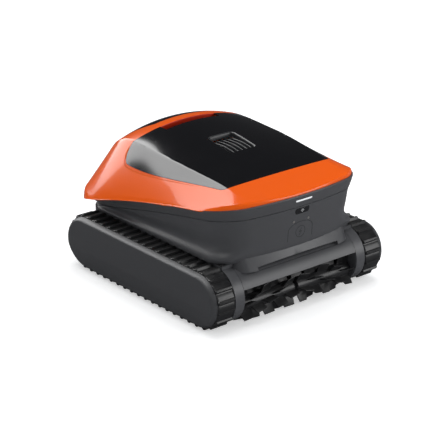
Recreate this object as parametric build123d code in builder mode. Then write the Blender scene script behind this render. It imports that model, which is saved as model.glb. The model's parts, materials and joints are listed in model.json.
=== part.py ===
from build123d import *
from math import acos, atan2, cos, degrees, hypot, pi, radians, sin, sqrt, tan
import os

# Tracked pool cleaning robot.
# Frame: Z up, the front of the robot faces -Y, X = 0 is its middle plane and Z = 0 the pool floor.
# The origin lies on the floor under the middle of the two tracks.

os.makedirs("parts", exist_ok=True)

# ---------------------------------------------------------------- driving dimensions (mm)
wheel_base = 325.0          # front wheel axis to rear wheel axis
track_outer = 188.0         # middle plane to the outer edge of a belt
body_height = 269.0         # floor to the top of the cover

# Tracks
belt_width = 36.0
belt_thickness = 3.0
belt_inner_radius = 46.5
cleat_height = 4.0
cleat_length = 11.0
cleats_on_run = 16
cleats_on_turn = 8
lug_height = 3.0
lug_length = 7.0
lug_width = 14.0
track_gap = 2.0             # chassis side to the inner edge of a belt
wheel_play = 0.3            # wheel rim to belt
rim_width = 9.0
axle_radius = 5.0
roller_radius = 12.0
roller_spacing = 110.0
roller_pin_radius = 3.0
cover_gap = 0.4             # belt edge to side cover
cover_depth = 10.0
cover_rim_radius = 49.5
cover_wall = 2.5

# Body
wall = 3.0
chassis_bottom = 9.0
chassis_top = 107.5
chassis_front = 176.0
gasket_height = 1.5
front_overhang = 47.5       # front wheel axis to the nose of the cover
rear_overhang = 51.5        # rear wheel axis to the tail of the cover
front_bow_radius = 500.0    # plan radius of the front
cover_taper = 22.0          # how much narrower each side of the cover is at the front
cover_corner_front = 56.0
cover_corner_rear = 60.0
edge_z_front = 212.0        # lower edge of the cover at the nose
edge_z_middle = 177.0
edge_z_rear = 122.0
band_height = 21.0          # grey light band under the cover
seam = 0.5                  # gap round lids and panels
ledge_width = 6.0
ledge_drop = 0.3            # panel underside to the ledge that carries it

# Brush and drive
brush_back = 22.5           # wheel axis forward to the brush axis
brush_drop = 20.5           # wheel axis down to the brush axis
brush_tip_radius = 31.0
brush_tunnel_radius = 35.0
brush_core_radius = 11.0
brush_sleeve_radius = 14.0
brush_half_width = 129.0
brush_hanger = 6.0
brush_rows = 6
brush_segments = 5
blade_thickness = 3.0
journal_radius = 5.0
gear_case_radius = 50.0
gear_case_width = 20.0
module = 1.0
wheel_teeth = 36
pinion_teeth = 14
idler_teeth = 16
brush_teeth = 18
gear_width = 8.0
gear_backlash = 0.2
fit = 0.05                  # running fit of shafts and pins
motor_radius = 16.0
motor_length = 62.0
motor_angle = 40.0          # direction of the motor from the wheel axis, above the horizontal

# Water path
mouth_width = 116.0
mouth_length = 34.0
mouth_behind_axle = 27.0    # front wheel axis back to the front of the intake mouth
basket_half_width = 112.0
basket_length = 68.0
basket_bottom = 95.0
basket_top = 206.0
pump_behind_axle = 140.5
duct_inner_radius = 39.0
impeller_radius = 38.2
grille_width = 60.0
grille_length = 68.0

# ---------------------------------------------------------------- derived places
axle_y = wheel_base / 2
tread_radius = belt_inner_radius + belt_thickness + cleat_height
axle_z = tread_radius
belt_inner_x = track_outer - belt_width
chassis_half = belt_inner_x - track_gap
nose = axle_y + front_overhang
tail = axle_y + rear_overhang
hull_bottom = chassis_top + gasket_height
cover_half_rear = track_outer - 1.0
cover_half_front = cover_half_rear - cover_taper
brush_y = -axle_y - brush_back
brush_z = axle_z - brush_drop
case_inner_x = chassis_half - gear_case_width
gear_x = case_inner_x + wall + 3.0
front_axle = (-axle_y, axle_z)
deck_z = basket_bottom - wall
mouth_front = -axle_y + mouth_behind_axle
basket_front = mouth_front - 2.0
pump_y = -axle_y + pump_behind_axle
lid_front = -nose + 63.0
lid_rear = tail - 111.0
lid_half_front = cover_half_front - 43.0
lid_half_middle = cover_half_front - 22.0
lid_half_rear = cover_half_rear - 40.0
notch_half = 62.0
notch_length = 19.0
band_middle = 19.0          # length of the carrying band in the middle
band_side = 45.0


# ---------------------------------------------------------------- helpers
def block(x0, x1, y0, y1, z0, z1, mode=Mode.ADD):
    """A box given by its two corners."""
    with Locations(((x0 + x1) / 2, (y0 + y1) / 2, (z0 + z1) / 2)):
        Box(x1 - x0, y1 - y0, z1 - z0, mode=mode)


def rod(x0, x1, y, z, radius, mode=Mode.ADD):
    """A cylinder along X between x0 and x1."""
    with Locations(Location(((x0 + x1) / 2, y, z), (0, 90, 0))):
        Cylinder(radius, x1 - x0, mode=mode)


def post(x, y, z0, z1, radius, mode=Mode.ADD):
    """A cylinder along Z between z0 and z1."""
    with Locations((x, y, (z0 + z1) / 2)):
        Cylinder(radius, z1 - z0, mode=mode)


def write(piece, name):
    """Label a piece and write it as its own STEP file."""
    piece.label = name
    export_step(piece, f"parts/{name}.step")


def write_pair(piece, name):
    """Write the right-hand piece and its mirror image for the left."""
    write(piece, f"{name}_right")
    write(mirror(piece, about=Plane.YZ), f"{name}_left")


def side_plane(x):
    """Plane at x seen from the right: local x is world Y, local y is world Z."""
    return Plane(origin=(x, 0, 0), x_dir=(0, 1, 0), z_dir=(1, 0, 0))


def edge_z(y):
    """Height of the lower edge of the cover: a parabola through its three heights."""
    half = (nose + tail) / 2
    t = (y + nose - half) / half
    slope = (edge_z_rear - edge_z_front) / 2
    bend = (edge_z_rear + edge_z_front) / 2 - edge_z_middle
    return edge_z_middle + slope * t + bend * t * t


def plan(front_half, rear_half, front, rear, front_radius, rear_radius, inset=0.0):
    """Plan outline: bowed front, sides that open towards the rear, rounded corners."""
    bow = front_bow_radius - sqrt(front_bow_radius ** 2 - front_half ** 2)
    start = (-front_half, -front + bow)
    end = (front_half, -front + bow)
    with BuildSketch() as outline:
        with BuildLine():
            ThreePointArc(start, (0, -front), end)
            Polyline(end, (rear_half, rear), (-rear_half, rear), start)
        make_face()
        fillet(outline.vertices().sort_by(Axis.Y)[:2], front_radius)
        fillet(outline.vertices().sort_by(Axis.Y)[-2:], rear_radius)
        if inset:
            offset(amount=-inset, mode=Mode.REPLACE)
    return outline.sketch


def above_edge(lower, upper):
    """Everything between the cover's edge surface moved up by lower and by upper."""
    reach = nose + 60.0
    half_width = track_outer + 60.0
    middle = (tail - nose) / 2
    with BuildPart() as slab:
        with BuildSketch(side_plane(-half_width)):
            with BuildLine():
                low = [(y, edge_z(y) + lower) for y in (middle - reach, middle, middle + reach)]
                high = [(y, edge_z(y) + upper) for y in (middle - reach, middle, middle + reach)]
                ThreePointArc(*low)
                Line(low[2], high[2])
                ThreePointArc(*reversed(high))
                Line(high[0], low[0])
            make_face()
        extrude(amount=2 * half_width)
    return slab.part


# Stations of the cover: share of its length from the nose, drop of the ridge below the
# top, drop of the shoulder below the ridge, and shoulder in from the side.
cover_stations = [
    (0.00, 53.0, 0.6, 62.0),
    (0.14, 37.0, 1.2, 58.0),
    (0.27, 26.0, 5.0, 55.0),
    (0.42, 14.5, 11.0, 53.0),
    (0.57, 5.5, 16.0, 55.0),
    (0.73, 0.0, 19.0, 60.0),
    (0.85, 9.0, 21.0, 66.0),
    (0.925, 33.0, 24.0, 74.0),
    (0.97, 70.0, 22.0, 84.0),
    (1.00, 132.0, 8.0, 94.0),
]


def cover_form(inset):
    """Outer form of the cover, taken in by inset all round."""
    with BuildPart() as form:
        for share, ridge_drop, shoulder_drop, shoulder_in in cover_stations:
            y = -nose + share * (nose + tail)
            half = cover_half_front + share * cover_taper + 1.5 - inset
            ridge = body_height - ridge_drop - inset
            shoulder = ridge - shoulder_drop
            shoulder_x = half - shoulder_in + inset * 0.4
            rim = min(edge_z(y) - 4.0, shoulder - 2.0) - inset
            bulge = ((half + shoulder_x) / 2 + 3.0, (rim + shoulder) / 2 + 2.5)
            with BuildSketch(Plane.XZ.offset(-y)):
                with BuildLine():
                    Line((-half, 60), (half, 60))
                    Line((half, 60), (half, rim))
                    ThreePointArc((half, rim), bulge, (shoulder_x, shoulder))
                    ThreePointArc((shoulder_x, shoulder), (0, ridge), (-shoulder_x, shoulder))
                    ThreePointArc((-shoulder_x, shoulder), (-bulge[0], bulge[1]), (-half, rim))
                    Line((-half, rim), (-half, 60))
                make_face()
        loft()
        with BuildSketch():
            add(plan(cover_half_front, cover_half_rear, nose, tail, cover_corner_front, cover_corner_rear, inset))
        extrude(amount=body_height + 30, mode=Mode.INTERSECT)
    return form.part


def hull_form(inset):
    """Outer form of the hull between its bottom and the cover's edge, taken in by inset.

    Each section lies on a plane that tilts from level at the bottom to the cover's edge.
    """
    slope = (edge_z_rear - edge_z_front) / (nose + tail)
    edge_middle = edge_z_middle + 3.0
    with BuildPart() as form:
        for share, front_half, rear_half, front, radius in hull_stations:
            z = hull_bottom + share * (edge_middle - hull_bottom)
            tilt = Vector(0, -share * slope, 1).normalized()
            with BuildSketch(Plane(origin=(0, 0, z), x_dir=(1, 0, 0), z_dir=tilt)):
                add(plan(chassis_half + front_half, chassis_half + rear_half, (nose + front) / tilt.Z,
                         (tail - 6.0 + 10.0 * share) / tilt.Z, radius, cover_corner_rear - 8.0, inset))
        loft()
    return form.part


# Stations of the hull: share of its height, half width at the front and at the rear past
# the chassis side, front past the nose, and front corner radius.
hull_stations = [
    (0.00, 7.0, 4.0, -13.0, 30.0),
    (0.08, 8.0, 5.0, -8.0, 26.0),
    (0.18, 2.0, 1.0, -6.0, 40.0),
    (0.45, 0.0, 9.0, -3.5, 50.0),
    (0.70, 3.0, 19.0, 0.0, 50.0),
    (0.88, 10.0, 29.0, 3.5, 50.0),
    (1.00, 16.0, 35.0, 2.5, 54.0),
]


def gear_outline(teeth, phase, place):
    """Involute spur gear outline about a place; phase is the angle of one tooth in degrees."""
    pitch_radius = module * teeth / 2
    base_radius = pitch_radius * cos(radians(20))
    tip_radius = pitch_radius + 0.8 * module
    root_radius = pitch_radius - 1.05 * module
    first = max(base_radius, root_radius + 0.05)
    flank = [first + (tip_radius - first) * k / 4 for k in range(5)]
    half_pitch = pi / (2 * teeth) - gear_backlash / (2 * pitch_radius)

    def half_angle(radius):
        involute = tan(radians(20)) - radians(20)
        pressure = acos(min(1.0, base_radius / radius))
        return half_pitch + involute - (tan(pressure) - pressure)

    outline = []
    for tooth in range(teeth):
        centre = radians(phase) + 2 * pi * tooth / teeth
        radii = [root_radius] + flank
        angles = [half_angle(first)] + [half_angle(radius) for radius in flank]
        for radius, angle in zip(radii, angles):
            outline.append((place[0] + radius * cos(centre - angle), place[1] + radius * sin(centre - angle)))
        for radius, angle in zip(reversed(radii), reversed(angles)):
            outline.append((place[0] + radius * cos(centre + angle), place[1] + radius * sin(centre + angle)))
    return outline


def meshing_phase(teeth_a, phase_a, teeth_b, direction):
    """Phase of gear b so that a gap of it faces a tooth of gear a; direction is a to b, degrees."""
    pitch_a = 360.0 / teeth_a
    lead = (phase_a - direction) % pitch_a
    return direction + 180.0 - lead * teeth_a / teeth_b + 180.0 / teeth_b


def direction_of(start, end):
    """Angle of the line from start to end in the side plane, degrees."""
    return degrees(atan2(end[1] - start[1], end[0] - start[0]))


# ---------------------------------------------------------------- tracks
def stadium(radius):
    """Outline of two equal half circles round the wheel axes, joined by straight runs."""
    with BuildSketch() as outline:
        with Locations((0, axle_z)):
            SlotCenterToCenter(wheel_base, 2 * radius)
    return outline.sketch


def lug_places(radius, turn_radius):
    """Places of the lugs or cleats round the belt, as (y, z, angle).

    radius is their distance from the line of the wheel axes on the runs, turn_radius that
    from the wheel axis on the turns.
    """
    places = []
    step = wheel_base / cleats_on_run
    for k in range(cleats_on_run):
        along = -axle_y + (k + 0.5) * step
        places.append((along, axle_z + radius, 90.0))
        places.append((along, axle_z - radius, -90.0))
    for k in range(cleats_on_turn):
        turn = -90.0 + (k + 0.5) * 180.0 / cleats_on_turn
        rise = turn_radius * sin(radians(turn))
        out = turn_radius * cos(radians(turn))
        places.append((axle_y + out, axle_z + rise, turn))
        places.append((-axle_y - out, axle_z + rise, 180.0 - turn))
    return places


belt_outer_radius = belt_inner_radius + belt_thickness
belt_middle_x = belt_inner_x + belt_width / 2
root = 0.5                  # how far cleats and lugs are sunk into the belt
cleat_middle = belt_outer_radius + (cleat_height - root) / 2
lug_middle = belt_inner_radius - (lug_height - root) / 2
# on the turns the cleats lie lower, so that their corners stay within the tread radius
cleat_droop = hypot(tread_radius, cleat_length / 2) - tread_radius + 0.02

with BuildPart() as track:
    with BuildSketch(side_plane(belt_inner_x)):
        add(stadium(belt_outer_radius))
        add(stadium(belt_inner_radius), mode=Mode.SUBTRACT)
    extrude(amount=belt_width)
    with BuildSketch(side_plane(belt_inner_x)):
        for y, z, angle in lug_places(cleat_middle, cleat_middle - cleat_droop):
            with Locations(Location((y, z, 0), (0, 0, angle))):
                Rectangle(cleat_height + root, cleat_length)
    extrude(amount=belt_width)
    with BuildSketch(side_plane(belt_middle_x - lug_width / 2)):
        for y, z, angle in lug_places(lug_middle, lug_middle):
            with Locations(Location((y, z, 0), (0, 0, angle))):
                Rectangle(lug_height + root, lug_length)
    extrude(amount=lug_width)
write_pair(track.part, "track")

# Wheels: two rims that carry the belt and a drum that the lugs run over. The front drum has
# teeth between the lugs.
wheel_radius = belt_inner_radius - wheel_play
drum_radius = belt_inner_radius - lug_height - wheel_play
wheel_width = belt_width - 2.0
wheel_x = belt_inner_x + 1.0
wheel_rims = (wheel_x, wheel_x + wheel_width - rim_width)


def wheel_body(y):
    """Rims, drum, web and hub of a wheel on the axis at y."""
    with BuildPart() as body:
        rod(wheel_x, wheel_x + wheel_width, y, axle_z, drum_radius)
        for x in wheel_rims:
            rod(x, x + rim_width, y, axle_z, wheel_radius)
        rod(wheel_x + 12, wheel_x + wheel_width, y, axle_z, drum_radius - 4, mode=Mode.SUBTRACT)
        rod(wheel_x + 12, wheel_x + wheel_width - 1, y, axle_z, axle_radius + 4)
        with BuildSketch(side_plane(wheel_x + 12)):
            with Locations((y, axle_z)):
                with PolarLocations(drum_radius / 2, 6):
                    Rectangle(drum_radius - 4, 3)
        extrude(amount=wheel_width - 16)
        rod(wheel_x - 1, wheel_x + wheel_width + 1, y, axle_z, axle_radius, mode=Mode.SUBTRACT)
    return body.part


with BuildPart() as front_wheel:
    add(wheel_body(-axle_y))
    with BuildSketch(side_plane(belt_middle_x - lug_width / 2)):
        with Locations((-axle_y, axle_z)):
            with PolarLocations((drum_radius + wheel_radius) / 2 - 1.0, 2 * cleats_on_turn):
                Rectangle(wheel_radius - drum_radius + 2.0, lug_length)
    extrude(amount=lug_width)
write_pair(front_wheel.part, "front_wheel")

with BuildPart() as rear_wheel:
    add(wheel_body(axle_y))
write_pair(rear_wheel.part, "rear_wheel")

# Drive shaft of the front wheel, from the gear case out to the wheel.
with BuildPart() as drive_axle:
    rod(case_inner_x + 0.5, wheel_x + wheel_width, -axle_y, axle_z, axle_radius)
write_pair(drive_axle.part, "drive_axle")

# Track frame: a channel between the wheels that carries the road rollers and the side cover.
frame_reach = axle_y - belt_inner_radius - 6.0
channel_x0 = belt_inner_x
channel_x1 = track_outer - 1.0
channel_z0 = axle_z - 19.0
channel_z1 = axle_z + 24.0
roller_z = axle_z - belt_inner_radius + roller_radius + wheel_play
roller_places = (-roller_spacing / 2, roller_spacing / 2)
cover_posts = ((-frame_reach + 14, axle_z), (0.0, axle_z), (frame_reach - 14, axle_z))
screw_places = ((-80.0, axle_z), (-28.0, axle_z), (28.0, axle_z), (80.0, axle_z))
screw_radius = 2.0

with BuildPart() as track_frame:
    block(channel_x0, channel_x1, -frame_reach, frame_reach, channel_z0, channel_z1)
    block(channel_x0 + 3, channel_x1 + 1, -frame_reach + 3, frame_reach - 3, channel_z0 + 3, channel_z1 - 3,
          mode=Mode.SUBTRACT)
    for y in (-56.0, 0.0, 56.0):
        block(channel_x0, channel_x1, y - 1.5, y + 1.5, channel_z0, channel_z1)
    for y, z in cover_posts:
        rod(channel_x0, channel_x1, y, z, 5)
        rod(channel_x1 - 12, channel_x1 + 1, y, z, 2.2, mode=Mode.SUBTRACT)
    for y in roller_places:
        for x in (channel_x0, channel_x1 - 3):
            block(x, x + 3, y - 7, y + 7, roller_z - 6, channel_z0 + 1)
        rod(channel_x0 - 1, channel_x1 + 1, y, roller_z, roller_pin_radius, mode=Mode.SUBTRACT)
    for y, z in screw_places:
        rod(channel_x0 - 1, channel_x0 + 4, y, z, screw_radius, mode=Mode.SUBTRACT)
        with Locations(Location((channel_x0 - track_gap / 2, y, z), (0, 90, 0))):
            Cylinder(6, track_gap)
            Cylinder(screw_radius, track_gap + 1, mode=Mode.SUBTRACT)
write_pair(track_frame.part, "track_frame")

for name, y in zip(("front", "rear"), roller_places):
    with BuildPart() as roller:
        rod(channel_x0 + 3.5, channel_x1 - 3.5, y, roller_z, roller_radius)
        with BuildPart(mode=Mode.PRIVATE) as groove:
            rod(belt_middle_x - lug_width / 2 - 1, belt_middle_x + lug_width / 2 + 1, y, roller_z, roller_radius + 1)
            rod(belt_middle_x - lug_width, belt_middle_x + lug_width, y, roller_z, roller_radius - 4,
                mode=Mode.SUBTRACT)
        add(groove.part, mode=Mode.SUBTRACT)
        rod(channel_x0, channel_x1, y, roller_z, roller_pin_radius + fit, mode=Mode.SUBTRACT)
    write_pair(roller.part, f"road_roller_{name}")

# Fixed pins of the rear wheels and road rollers, both sides.
with BuildPart() as track_pins:
    for side in (-1, 1):
        ends = sorted((side * (chassis_half - wall), side * (wheel_x + wheel_width)))
        rod(ends[0], ends[1], axle_y, axle_z, axle_radius - fit)
        for y in roller_places:
            ends = sorted((side * channel_x0, side * channel_x1))
            rod(ends[0], ends[1], y, roller_z, roller_pin_radius)
write(track_pins.part, "track_pins")

# Screws that hold the track frames to the chassis.
with BuildPart() as frame_screws:
    for side in (-1, 1):
        for y, z in screw_places:
            shank = sorted((side * (chassis_half - wall), side * (channel_x0 + 3)))
            head = sorted((side * (channel_x0 + 3), side * (channel_x0 + 5.5)))
            rod(shank[0], shank[1], y, z, screw_radius)
            rod(head[0], head[1], y, z, screw_radius * 1.9)
write(frame_screws.part, "frame_screws")

# Side cover: a dished stadium whose face turns inwards below a crease.
cover_x = track_outer + cover_gap
with BuildPart() as side_cover:
    with BuildSketch(side_plane(cover_x)):
        add(stadium(cover_rim_radius))
    extrude(amount=cover_depth)
    fillet(side_cover.faces().sort_by(Axis.X)[-1].edges(), 7.0)
    with BuildSketch(Plane.XZ.offset(-axle_y * 2)):
        with BuildLine():
            Polyline((cover_x + cover_depth + 1, axle_z - 11), (cover_x + cover_depth, axle_z - 11),
                     (cover_x + cover_depth - 5.5, 0), (cover_x + cover_depth + 1, 0), close=True)
        make_face()
    extrude(amount=axle_y * 4, mode=Mode.SUBTRACT)
    with BuildSketch(side_plane(cover_x)):
        add(stadium(cover_rim_radius - 7.5))
    extrude(amount=2.2, mode=Mode.SUBTRACT)
    with BuildSketch(side_plane(cover_x + 2)):
        add(stadium(cover_rim_radius - 22.0))
    extrude(amount=cover_depth - 2 - cover_wall, mode=Mode.SUBTRACT)
    for y, z in cover_posts:
        rod(channel_x1, cover_x + cover_depth - cover_wall + 0.5, y, z, 5)
        rod(channel_x1 - 9, channel_x1 + 1, y, z, 2.0)
write_pair(side_cover.part, "side_cover")

# ---------------------------------------------------------------- drive train
motor_centre = (front_axle[0] + module * (wheel_teeth + pinion_teeth) / 2 * cos(radians(motor_angle)),
                front_axle[1] + module * (wheel_teeth + pinion_teeth) / 2 * sin(radians(motor_angle)))
brush_centre = (brush_y, brush_z)
to_brush = direction_of(front_axle, brush_centre)
brush_distance = hypot(brush_back, brush_drop)
wheel_to_idler = module * (wheel_teeth + idler_teeth) / 2
idler_to_brush = module * (idler_teeth + brush_teeth) / 2
idler_swing = degrees(acos((wheel_to_idler ** 2 + brush_distance ** 2 - idler_to_brush ** 2)
                           / (2 * wheel_to_idler * brush_distance)))
to_idler = to_brush - idler_swing
idler_centre = (front_axle[0] + wheel_to_idler * cos(radians(to_idler)),
                front_axle[1] + wheel_to_idler * sin(radians(to_idler)))
pinion_phase = meshing_phase(wheel_teeth, 0.0, pinion_teeth, motor_angle)
idler_phase = meshing_phase(wheel_teeth, 0.0, idler_teeth, to_idler)
brush_phase = meshing_phase(idler_teeth, idler_phase, brush_teeth, direction_of(idler_centre, brush_centre))
idler_pin_radius = 2.5


def gear(teeth, phase, centre, bore):
    """A spur gear in the gear case on an axis along X."""
    with BuildPart() as wheel:
        with BuildSketch(side_plane(gear_x)):
            with BuildLine():
                Polyline(*gear_outline(teeth, phase, centre), close=True)
            make_face()
        extrude(amount=gear_width)
        rod(gear_x - 1, gear_x + gear_width + 1, centre[0], centre[1], bore, mode=Mode.SUBTRACT)
    return wheel.part


write_pair(gear(wheel_teeth, 0.0, front_axle, axle_radius), "axle_gear")
write_pair(gear(idler_teeth, idler_phase, idler_centre, idler_pin_radius + fit), "idler_gear")

# Motor pinion with its shaft.
with BuildPart() as motor_pinion:
    add(gear(pinion_teeth, pinion_phase, motor_centre, 3.0))
    rod(gear_x - 1.5, gear_x + gear_width + 1, motor_centre[0], motor_centre[1], 3.0)
write_pair(motor_pinion.part, "motor_pinion")

with BuildPart() as drive_motor:
    rod(case_inner_x - motor_length, case_inner_x, motor_centre[0], motor_centre[1], motor_radius)
    chamfer(drive_motor.faces().sort_by(Axis.X)[0].edges(), 1.5)
    rod(case_inner_x, gear_x - 1.8, motor_centre[0], motor_centre[1], 6.0)
write_pair(drive_motor.part, "drive_motor")

cover_plate_x = chassis_half - wall

# Idler pins, one in each gear case.
with BuildPart() as idler_pins:
    for side in (-1, 1):
        ends = sorted((side * (case_inner_x + wall - 1.5), side * (cover_plate_x - 0.3)))
        rod(ends[0], ends[1], idler_centre[0], idler_centre[1], idler_pin_radius)
write(idler_pins.part, "idler_pins")

# Gear case covers with the bores of the drive axles.
bush_radius = axle_radius + 2.5
with BuildPart() as gear_covers:
    for side in (-1, 1):
        ends = sorted((side * cover_plate_x, side * chassis_half))
        rod(ends[0], ends[1], -axle_y, axle_z, gear_case_radius - 4.0)
        rod(ends[0] - 1, ends[1] + 1, -axle_y, axle_z, bush_radius, mode=Mode.SUBTRACT)
write(gear_covers.part, "gear_covers")

with BuildPart() as axle_bushes:
    for side in (-1, 1):
        ends = sorted((side * (cover_plate_x - 1.5), side * (chassis_half + 0.6)))
        rod(ends[0], ends[1], -axle_y, axle_z, bush_radius)
        rod(ends[0] - 1, ends[1] + 1, -axle_y, axle_z, axle_radius + fit, mode=Mode.SUBTRACT)
write(axle_bushes.part, "axle_bushes")

# ---------------------------------------------------------------- brush
# Each half of the brush is a core with its gear moulded on, and a rubber sleeve of blades.
brush_inner_x = brush_hanger / 2 + 0.6
hanger_pin_radius = 3.0
with BuildPart() as brush_core:
    rod(brush_inner_x, brush_half_width, brush_y, brush_z, brush_core_radius)
    rod(brush_half_width, gear_x + gear_width + 1, brush_y, brush_z, journal_radius)
    add(gear(brush_teeth, brush_phase, brush_centre, journal_radius - 1))
    rod(brush_inner_x - 1, brush_inner_x + 12, brush_y, brush_z, hanger_pin_radius + fit, mode=Mode.SUBTRACT)
write_pair(brush_core.part, "brush_core")

segment_length = (brush_half_width - brush_inner_x - 1.5) / brush_segments
with BuildPart() as brush_blades:
    rod(brush_inner_x + 0.5, brush_half_width - 0.5, brush_y, brush_z, brush_sleeve_radius)
    for segment in range(brush_segments):
        start = brush_inner_x + 1.0 + segment * segment_length
        with BuildSketch(side_plane(start)):
            with Locations(brush_centre):
                with PolarLocations((brush_tip_radius + brush_core_radius) / 2 + 1.0, brush_rows,
                                    start_angle=segment * 24.0):
                    Rectangle(brush_tip_radius - brush_core_radius - 2.0, blade_thickness)
        extrude(amount=segment_length - 1.2)
    rod(0, brush_half_width, brush_y, brush_z, brush_core_radius, mode=Mode.SUBTRACT)
write_pair(brush_blades.part, "brush_blades")

with BuildPart() as hanger_pin:
    rod(-brush_inner_x - 11, brush_inner_x + 11, brush_y, brush_z, hanger_pin_radius)
write(hanger_pin.part, "hanger_pin")

# ---------------------------------------------------------------- lower chassis
duct_half = mouth_width / 2 + wall
duct_front = mouth_front - wall
duct_rear = mouth_front + mouth_length + wall
chassis_rear = tail - 9.0
inner_half = chassis_half - wall - 1.0
deck_post_x = inner_half - 9.0
deck_post_ys = (-80.0, 40.0, 160.0)
with BuildPart() as lower_chassis:
    block(-chassis_half, chassis_half, -chassis_front, chassis_rear, chassis_bottom, chassis_top)
    fillet(lower_chassis.edges().filter_by(Axis.Z).sort_by(Axis.Y)[-2:], 30)
    fillet(lower_chassis.faces().sort_by(Axis.Z)[0].edges().sort_by(Axis.Y)[-1:], 16)
    for side in (-1, 1):
        ends = sorted((side * case_inner_x, side * chassis_half))
        rod(ends[0], ends[1], -axle_y, axle_z, gear_case_radius)
    # brush tunnel
    rod(-case_inner_x, case_inner_x, brush_y, brush_z, brush_tunnel_radius, mode=Mode.SUBTRACT)
    block(-case_inner_x, case_inner_x, -nose - 20, brush_y, 0, chassis_top + 1, mode=Mode.SUBTRACT)
    block(-case_inner_x, case_inner_x, -nose - 20, brush_y + brush_tunnel_radius, 0, brush_z, mode=Mode.SUBTRACT)
    # dry compartment, open at the top
    with BuildPart(mode=Mode.PRIVATE) as inside:
        block(-inner_half, inner_half, -axle_y + 15, chassis_rear - wall - 2, chassis_bottom + wall, chassis_top + 1)
        fillet(inside.edges().filter_by(Axis.Z).sort_by(Axis.Y)[-2:], 26)
        block(-case_inner_x, case_inner_x, -chassis_front + wall, 0, chassis_bottom + wall, chassis_top + 1)
        for side in (-1, 1):
            ends = sorted((side * case_inner_x, side * (chassis_half + 1)))
            rod(ends[0], ends[1], -axle_y, axle_z, gear_case_radius + 1.5, mode=Mode.SUBTRACT)
        rod(-chassis_half, chassis_half, brush_y, brush_z, brush_tunnel_radius + wall, mode=Mode.SUBTRACT)
        block(-chassis_half, chassis_half, -nose, brush_y + brush_tunnel_radius + wall, 0, brush_z,
              mode=Mode.SUBTRACT)
    add(inside.part, mode=Mode.SUBTRACT)
    for side in (-1, 1):
        # gear case and the holes of its shafts
        cavity = sorted((side * (case_inner_x + wall), side * (chassis_half + 1)))
        wall_ends = sorted((side * (case_inner_x - 1), side * (case_inner_x + wall + 1)))
        rod(cavity[0], cavity[1], -axle_y, axle_z, gear_case_radius - 4.0, mode=Mode.SUBTRACT)
        rod(wall_ends[0], wall_ends[1], brush_y, brush_z, journal_radius + fit, mode=Mode.SUBTRACT)
        rod(wall_ends[0], wall_ends[1], -axle_y, axle_z, axle_radius + fit, mode=Mode.SUBTRACT)
        rod(wall_ends[0], wall_ends[1], motor_centre[0], motor_centre[1], 6.0, mode=Mode.SUBTRACT)
        pin_ends = sorted((side * (case_inner_x + wall - 1.5), side * (case_inner_x + wall + 1)))
        rod(pin_ends[0], pin_ends[1], idler_centre[0], idler_centre[1], idler_pin_radius, mode=Mode.SUBTRACT)
        # rear wheel pin and frame screws
        outer = sorted((side * (chassis_half - wall), side * (chassis_half + 1)))
        rod(outer[0], outer[1], axle_y, axle_z, axle_radius - fit, mode=Mode.SUBTRACT)
        for y, z in screw_places:
            rod(outer[0], outer[1], y, z, screw_radius, mode=Mode.SUBTRACT)
    # brush hanger in the middle of the tunnel
    with BuildSketch(side_plane(-brush_hanger / 2)):
        with BuildLine():
            Polyline((brush_y, brush_z - 6), (brush_y, brush_z + 6), (brush_y + brush_tunnel_radius + 1, brush_z + 16),
                     (brush_y + brush_tunnel_radius + 1, brush_z - 12), close=True)
        make_face()
        with Locations(brush_centre):
            Circle(7)
            Circle(hanger_pin_radius, mode=Mode.SUBTRACT)
    extrude(amount=brush_hanger)
    for x in (-deck_post_x, deck_post_x):
        for y in deck_post_ys:
            post(x, y, chassis_bottom + 1, deck_z, 5.0)
            post(x, y, deck_z - 8, deck_z + 1, 2.0, mode=Mode.SUBTRACT)
    # intake mouth through the belly
    block(-mouth_width / 2, mouth_width / 2, mouth_front, mouth_front + mouth_length, 0, chassis_bottom + wall + 1,
          mode=Mode.SUBTRACT)
write(lower_chassis.part, "lower_chassis")

# Deck over the dry compartment, with the intake duct moulded on and the seat of the pump.
deck_half = inner_half - 0.5
deck_rear = chassis_rear - wall - 2.5
pump_motor_radius = 27.0
with BuildPart() as deck:
    block(-deck_half, deck_half, -axle_y + 16, deck_rear, deck_z, deck_z + wall)
    fillet(deck.edges().filter_by(Axis.Z).sort_by(Axis.Y)[-2:], 25.5)
    block(-duct_half, duct_half, duct_front, duct_rear, chassis_bottom + wall, deck_z)
    block(-mouth_width / 2, mouth_width / 2, mouth_front, mouth_front + mouth_length, chassis_bottom,
          deck_z + wall + 1, mode=Mode.SUBTRACT)
    post(0, pump_y, deck_z - 1, deck_z + wall + 1, 6.0, mode=Mode.SUBTRACT)
    for side in (-1, 1):
        ends = sorted((side * (case_inner_x - 0.3), side * chassis_half))
        rod(ends[0], ends[1], -axle_y, axle_z, gear_case_radius + 1.8, mode=Mode.SUBTRACT)
    for x in (-deck_post_x, deck_post_x):
        for y in deck_post_ys:
            post(x, y, deck_z - 1, deck_z + wall + 1, 2.0, mode=Mode.SUBTRACT)
write(deck.part, "deck")

# ---------------------------------------------------------------- dry compartment
battery_half = 92.0
with BuildPart() as battery:
    block(-battery_half, battery_half, pump_y + 62, pump_y + 182, chassis_bottom + wall, deck_z - 14)
    fillet(battery.edges().filter_by(Axis.Z), 6)
write(battery.part, "battery_pack")

with BuildPart() as board:
    block(-60, 60, pump_y + 72, pump_y + 162, deck_z - 9.0, deck_z - 7.4)
    for x, y, width, length, height in ((-30, 95, 30, 30, 3.0), (22, 110, 22, 34, 4.5), (-20, 140, 44, 12, 5.0)):
        block(x - width / 2, x + width / 2, pump_y + y - length / 2, pump_y + y + length / 2,
              deck_z - 7.5, deck_z - 7.4 + height)
    for x in (-54, 54):
        for y in (78, 156):
            post(x, pump_y + y, deck_z - 14, deck_z - 7.4, 3.0)
write(board.part, "control_board")

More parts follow.
